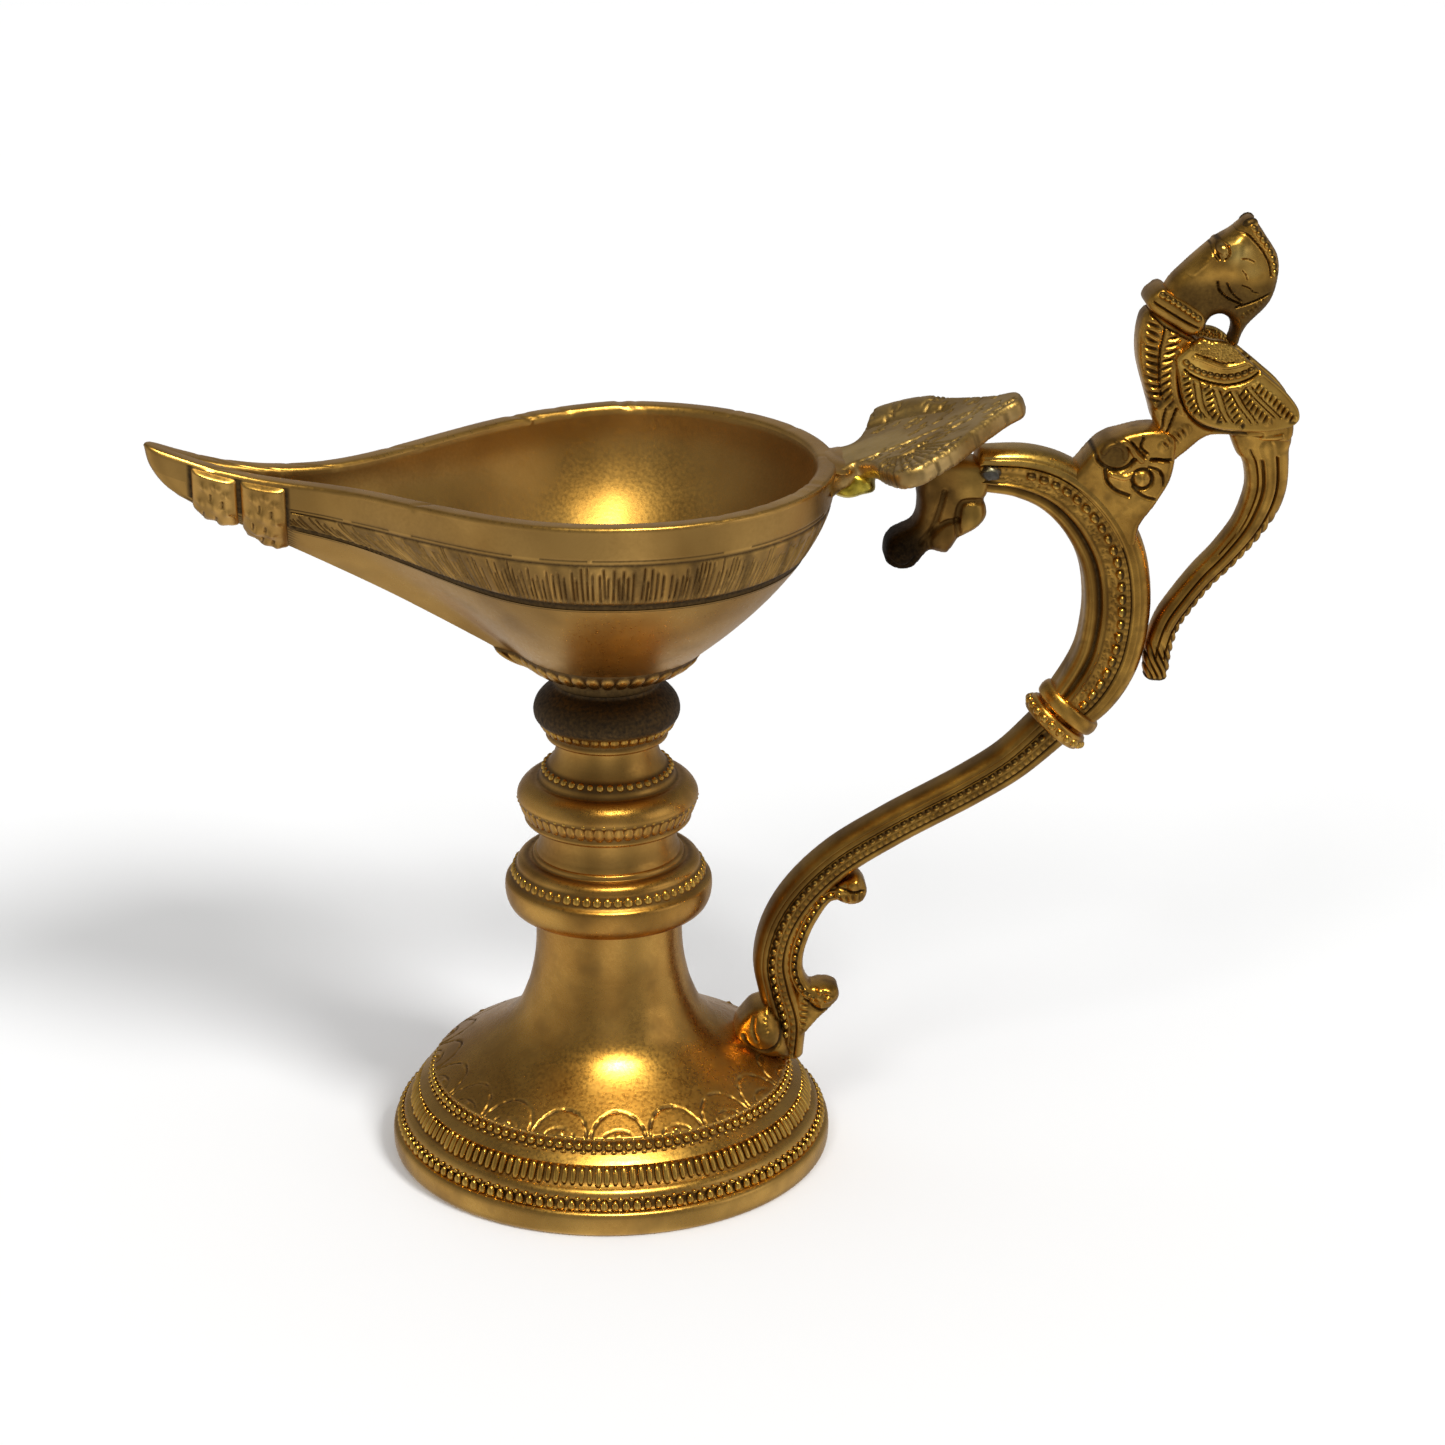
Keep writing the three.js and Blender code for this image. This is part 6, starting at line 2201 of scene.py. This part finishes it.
        _, above = nearest(smooth_path(arc, 0.3), relief.points)
        shoulder = blend(0.15, 0.45, above)
        # The shoulder above the bead arc is smoothed, and lightened as a painted highlight.
        relief.height *= 1 - shoulder
        relief.tarnish = relief.tarnish * (1 - shoulder) - 0.6 * shoulder
        relief.swell((83.6, 119.6), 2.6, 0.5)
        relief.ridge([(x, z - 0.55) for x, z in arc], 0.4, 0.3)
        relief.groove(arc, 0.22, 0.4)
        relief.groove([(x, z + 1.15) for x, z in arc], 0.5, 0.2, 0.85)
        relief.ridge(
            (
                (81.6, 119.4), (82.6, 119.1), (83.8, 118.6), (85.8, 117.9), (87.4, 118.0),
                (88.8, 118.4)),
            0.3, 0.25)
        relief.groove(((81.8, 119.9), (84.0, 119.1), (85.8, 118.4), (87.3, 118.5)), 0.16, 0.25)
        relief.punch(blend(2.9, 3.3, above), 0.5, 0.2, 5)

    def carve_tail(self, relief: Relief) -> None:
        """Facets along the tail, notches on its outer strip, a fan of strokes at the tip.

        Args:
            relief: Relief of the face.
        """
        long = float(relief.points[:, 0].max())
        run, over = relief.points.T
        for place, half, depth in ((-1.15, 0.26, 0.4), (1.75, 0.3, 0.4)):
            relief.groove(
                ((0.1 * long, place), (long / 2, place), (0.93 * long, place)), half, depth)
        relief.ridge(((0.06 * long, 0.3), (long / 2, 0.3), (0.8 * long, 0.3)), 1.2, 0.35)
        relief.groove(((0.05 * long, -2.4), (0.3 * long, -2.4), (0.5 * long, -2.6)), 0.2, 0.25, 0.8)
        edge = blend(1.9, 2.3, over) * blend(0.25 * long, 0.35 * long, run)
        fan = blend(0.86 * long, 0.92 * long, run)
        wave = 0.5 + 0.5 * np.cos(2 * np.pi * (run - 0.7 * over) / 1.6)
        marks = np.maximum(edge, fan)
        relief.height -= 0.4 * marks * (1 - wave) ** 2
        relief.darken(marks * (1 - wave) ** 2)

    def carve_band(self, relief: Relief) -> None:
        """Channel for the neck band's beads, and its plain lower half.

        Args:
            relief: Relief of the face.
        """
        relief.tarnish += 0.3
        relief.groove(((77.0, 128.0), (78.8, 126.9), (80.4, 125.8), (82.2, 124.5)), 0.5, 0.2, 0.85)
        relief.groove(((75.9, 127.0), (78.2, 125.5), (80.3, 124.2), (82.3, 123.1)), 0.22, 0.4)

    def build(self, maker: Maker) -> None:
        """Makes the perch and the bird's parts.

        Args:
            maker: Makes and settles the pieces.
        """
        for name, node, slab, carve in (
            ("perch_casting", "perch_scroll", Slab(self.perch, 3.4, 1.1, 0.18), self.carve_perch),
            ("bird_breast", "bird_torso", Slab(self.torso, self.half, 1.2, 0.18), self.carve_torso),
            (
                "bird_head_casting", "bird_head", Slab(self.head, self.half, 1.8, 0.15, crown=0.3),
                self.carve_head)
        ):
            maker.cast(name, slab.body(carve), CARVED, node)
        for side in Side:
            node = f"bird_wing_{side.name.lower()}"
            wing = Slab(
                self.wing, self.wing_half, 0.5, 0.16, handle_plane(side.value * self.wing_middle))
            maker.cast(f"{node}_casting", wing.body(self.carve_wing), BEADING_WEAR_AND_SHEEN, node)
        band = Slab(self.band, 3.5, 1.0, 0.16)
        maker.cast("bird_collar_casting", band.body(self.carve_band), CARVED, "bird_neck_band")
        tail = Strap(
            self.tail, self.tail_widths, ((0, 2.5), (0.5, 2.5), (1, 2.3)), step=0.2, samples=48,
            bulge=0.4)
        maker.cast("bird_tail_casting", tail.body(self.carve_tail), CARVED, "bird_tail")
        for name, places, pitch, size, level in (
            (
                "bird_crest_beads",
                (
                    (89.6, 136.9), (90.5, 135.8), (91.3, 134.7), (92.0, 133.4), (92.5, 132.0),
                    (92.7, 130.6)),
                0.95, 0.5, self.half - 0.2),
            (
                "bird_collar_beads", ((77.1, 128.0), (78.8, 127.0), (80.4, 125.9), (82.2, 124.6)),
                0.8, 0.46, 3.42),
            (
                "bird_wing_beads",
                (
                    (80.6, 118.7), (81.3, 118.05), (82.8, 117.25), (84.4, 116.75), (86.3, 116.45),
                    (88.3, 116.75), (89.7, 117.4)),
                0.9, 0.42, self.half + 1.9),
            ("bird_crest_knob", ((89.1, 137.2), (89.3, 137.3)), 0.5, 0.95, self.half - 1.2)
        ):
            line = smooth_path(places, 0.2)
            lines = [
                np.column_stack([line[:, 0], np.full(len(line), side.value * level), line[:, 1]])
                for side in Side]
            maker.row(name, lines, pebble((size, size, size * 1.1)), pitch)


# ---- fasteners and studio


@dataclass
class Fasteners:
    """Tie rod, washer, nut and rivet, which keep their CAD shapes."""

    steel: tuple[str, ...] = ("tie_rod", "tie_washer", "tie_nut")
    brass: tuple[str, ...] = ("bract_rivet",)

    def build(self, maker: Maker) -> None:
        """Dresses the CAD nodes.

        Args:
            maker: Makes and settles the pieces.
        """
        for node in self.steel:
            maker.keep(node, STEEL)
        for node in self.brass:
            maker.keep(node, SATIN)


@dataclass
class Studio:
    """Pale floor, soft lights and the camera of the photograph."""

    lens: float = 97.16
    eye: Triple = (-19.8, -520.0, 266.6)
    pitch: float = 21.12
    yaw: float = 4.0
    floor_size: float = 3.0
    floor_light: float = 0.56
    floor_colour: float = 0.93
    floor_roughness: float = 0.9
    sensor: float = 36.0
    room_level: float = 0.92
    room_wave: float = 0.3
    aim: Triple = (0.01, 0.0, 0.07)
    lamps: tuple[tuple[str, Triple, tuple[float, float], float, Triple], ...] = (
        ("overhead", (0.05, -0.26, 0.70), (0.20, 0.13), 4.0, (1.0, 0.94, 0.6)),
        ("right_card", (0.75, -0.35, 0.30), (0.5, 0.5), 0.32, (1.0, 0.96, 0.9)))
    suns: tuple[tuple[str, Triple, float], ...] = (
        ("right_sun", (-0.62, 0.66, -0.85), 2.1), ("left_sun", (0.4, 0.8, -0.9), 0.5))
    sun_softness: float = 16.0
    reflected: Places = (
        (0.0, 0.56), (0.3, 0.48), (0.45, 0.32), (0.56, 0.26), (0.75, 0.21), (1.0, 0.12))

    def lamp(
        self, name: str, place: Vector, target: Vector, size: tuple[float, float], power: float,
        colour: Triple
    ) -> None:
        """Rectangular area light that looks at a target, and shows in the metal only.

        Args:
            name: Name of the lamp.
            place: Where it hangs.
            target: Where it looks.
            size: Its two sides.
            power: Its power in watts.
            colour: Its colour.
        """
        light = bpy.data.lights.new(name, "AREA")
        light.shape, light.size, light.size_y = "RECTANGLE", size[0], size[1]
        light.energy, light.color = power, colour
        made = bpy.data.objects.new(name, light)
        made.location = place
        made.rotation_euler = (target - place).to_track_quat("-Z", "Y").to_euler()
        made.visible_diffuse = False
        bpy.context.scene.collection.objects.link(made)

    def build(self, maker: Maker) -> None:
        """Sets up floor, world, lights and camera.

        Args:
            maker: Knows where the stem's axis is.
        """
        p, y = math.radians(self.pitch), math.radians(self.yaw)
        ahead = Vector((math.sin(y) * math.cos(p), math.cos(y) * math.cos(p), -math.sin(p)))
        right = Vector((math.cos(y), -math.sin(y), 0))
        up = right.cross(ahead)
        turn = Matrix((right, up, -ahead)).transposed().to_4x4()
        camera = bpy.data.objects.new("camera", bpy.data.cameras.new("camera"))
        camera.data.lens, camera.data.sensor_width = self.lens, self.sensor
        camera.matrix_world = Matrix.Translation(maker.axis + Vector(self.eye) * MM) @ turn
        bpy.context.scene.collection.objects.link(camera)
        bpy.context.scene.camera = camera
        half = self.floor_size
        mesh = bpy.data.meshes.new("floor")
        mesh.from_pydata(
            [(-half, -half, 0), (half, -half, 0), (half, half, 0), (-half, half, 0)], [],
            [(0, 1, 2, 3)])
        floor = bpy.data.objects.new("floor", mesh)
        pale = bpy.data.materials.new("pale_floor")
        pale.use_nodes = True
        inputs = pale.node_tree.nodes["Principled BSDF"].inputs
        inputs["Base Color"].default_value = (*[self.floor_colour] * 3, 1)
        inputs["Roughness"].default_value = self.floor_roughness
        mesh.materials.append(pale)
        floor.visible_glossy = False
        bpy.context.scene.collection.objects.link(floor)
        self.sky()
        middle = maker.axis + Vector(self.aim)
        for name, place, size, power, colour in self.lamps:
            self.lamp(name, middle + Vector(place), middle, size, power, colour)
        for name, way, strength in self.suns:
            sun = bpy.data.lights.new(name, "SUN")
            sun.energy, sun.angle = strength, math.radians(self.sun_softness)
            made = bpy.data.objects.new(name, sun)
            made.rotation_euler = Vector(way).to_track_quat("-Z", "Y").to_euler()
            made.visible_glossy = False
            bpy.context.scene.collection.objects.link(made)
        bpy.context.scene.view_settings.view_transform = "Standard"

    def sky(self) -> None:
        """World that lights the floor softly, and in the metal is a dim room."""
        world = bpy.data.worlds.new("studio")
        world.use_nodes = True
        s = Nodes(world.node_tree)
        way = s.node("ShaderNodeTexCoord").outputs["Generated"]
        way = s.node("ShaderNodeSeparateXYZ", i0=way).outputs
        rise = s.out("ShaderNodeMapRange", Value=way["Z"], From_Min=-1.0)
        ramp = s.node("ShaderNodeValToRGB", i0=rise)
        while len(ramp.color_ramp.elements) < len(self.reflected):
            ramp.color_ramp.elements.new(0.5)
        for element, (place, value) in zip(ramp.color_ramp.elements, self.reflected):
            element.position, element.color = place, (value, value, value, 1)
        wave = s.math("COSINE", s.math("MULTIPLY", way["X"], 2 * math.pi), 0.0)
        room = s.math("ADD", s.math("MULTIPLY", wave, self.room_wave), self.room_level)
        lit = s.node("ShaderNodeVectorMath", {"operation": "SCALE"}, i0=ramp.outputs[0], Scale=room)
        in_metal = s.node("ShaderNodeLightPath").outputs["Is Glossy Ray"]
        floor_light = (*[self.floor_light] * 3, 1)
        mix = s.node(
            "ShaderNodeMix", {"data_type": "RGBA"}, Factor=in_metal, i6=floor_light,
            i7=lit.outputs[0])
        s.tree.links.new(mix.outputs[2], s.tree.nodes["Background"].inputs["Color"])
        bpy.context.scene.world = world


def main() -> None:
    """Builds the lamp piece by piece, then the studio, and logs how many pieces were made."""
    logging.basicConfig(level=logging.INFO, format="%(name)s %(message)s")
    maker = Maker()
    for part in (Foot(), Stem(), Bowl(), LeafPlate(), Arch(), Bar(), Bird(), Fasteners(), Studio()):
        part.build(maker)
    log.info("%d pieces made", maker.made)


if __name__ == "__main__":
    main()
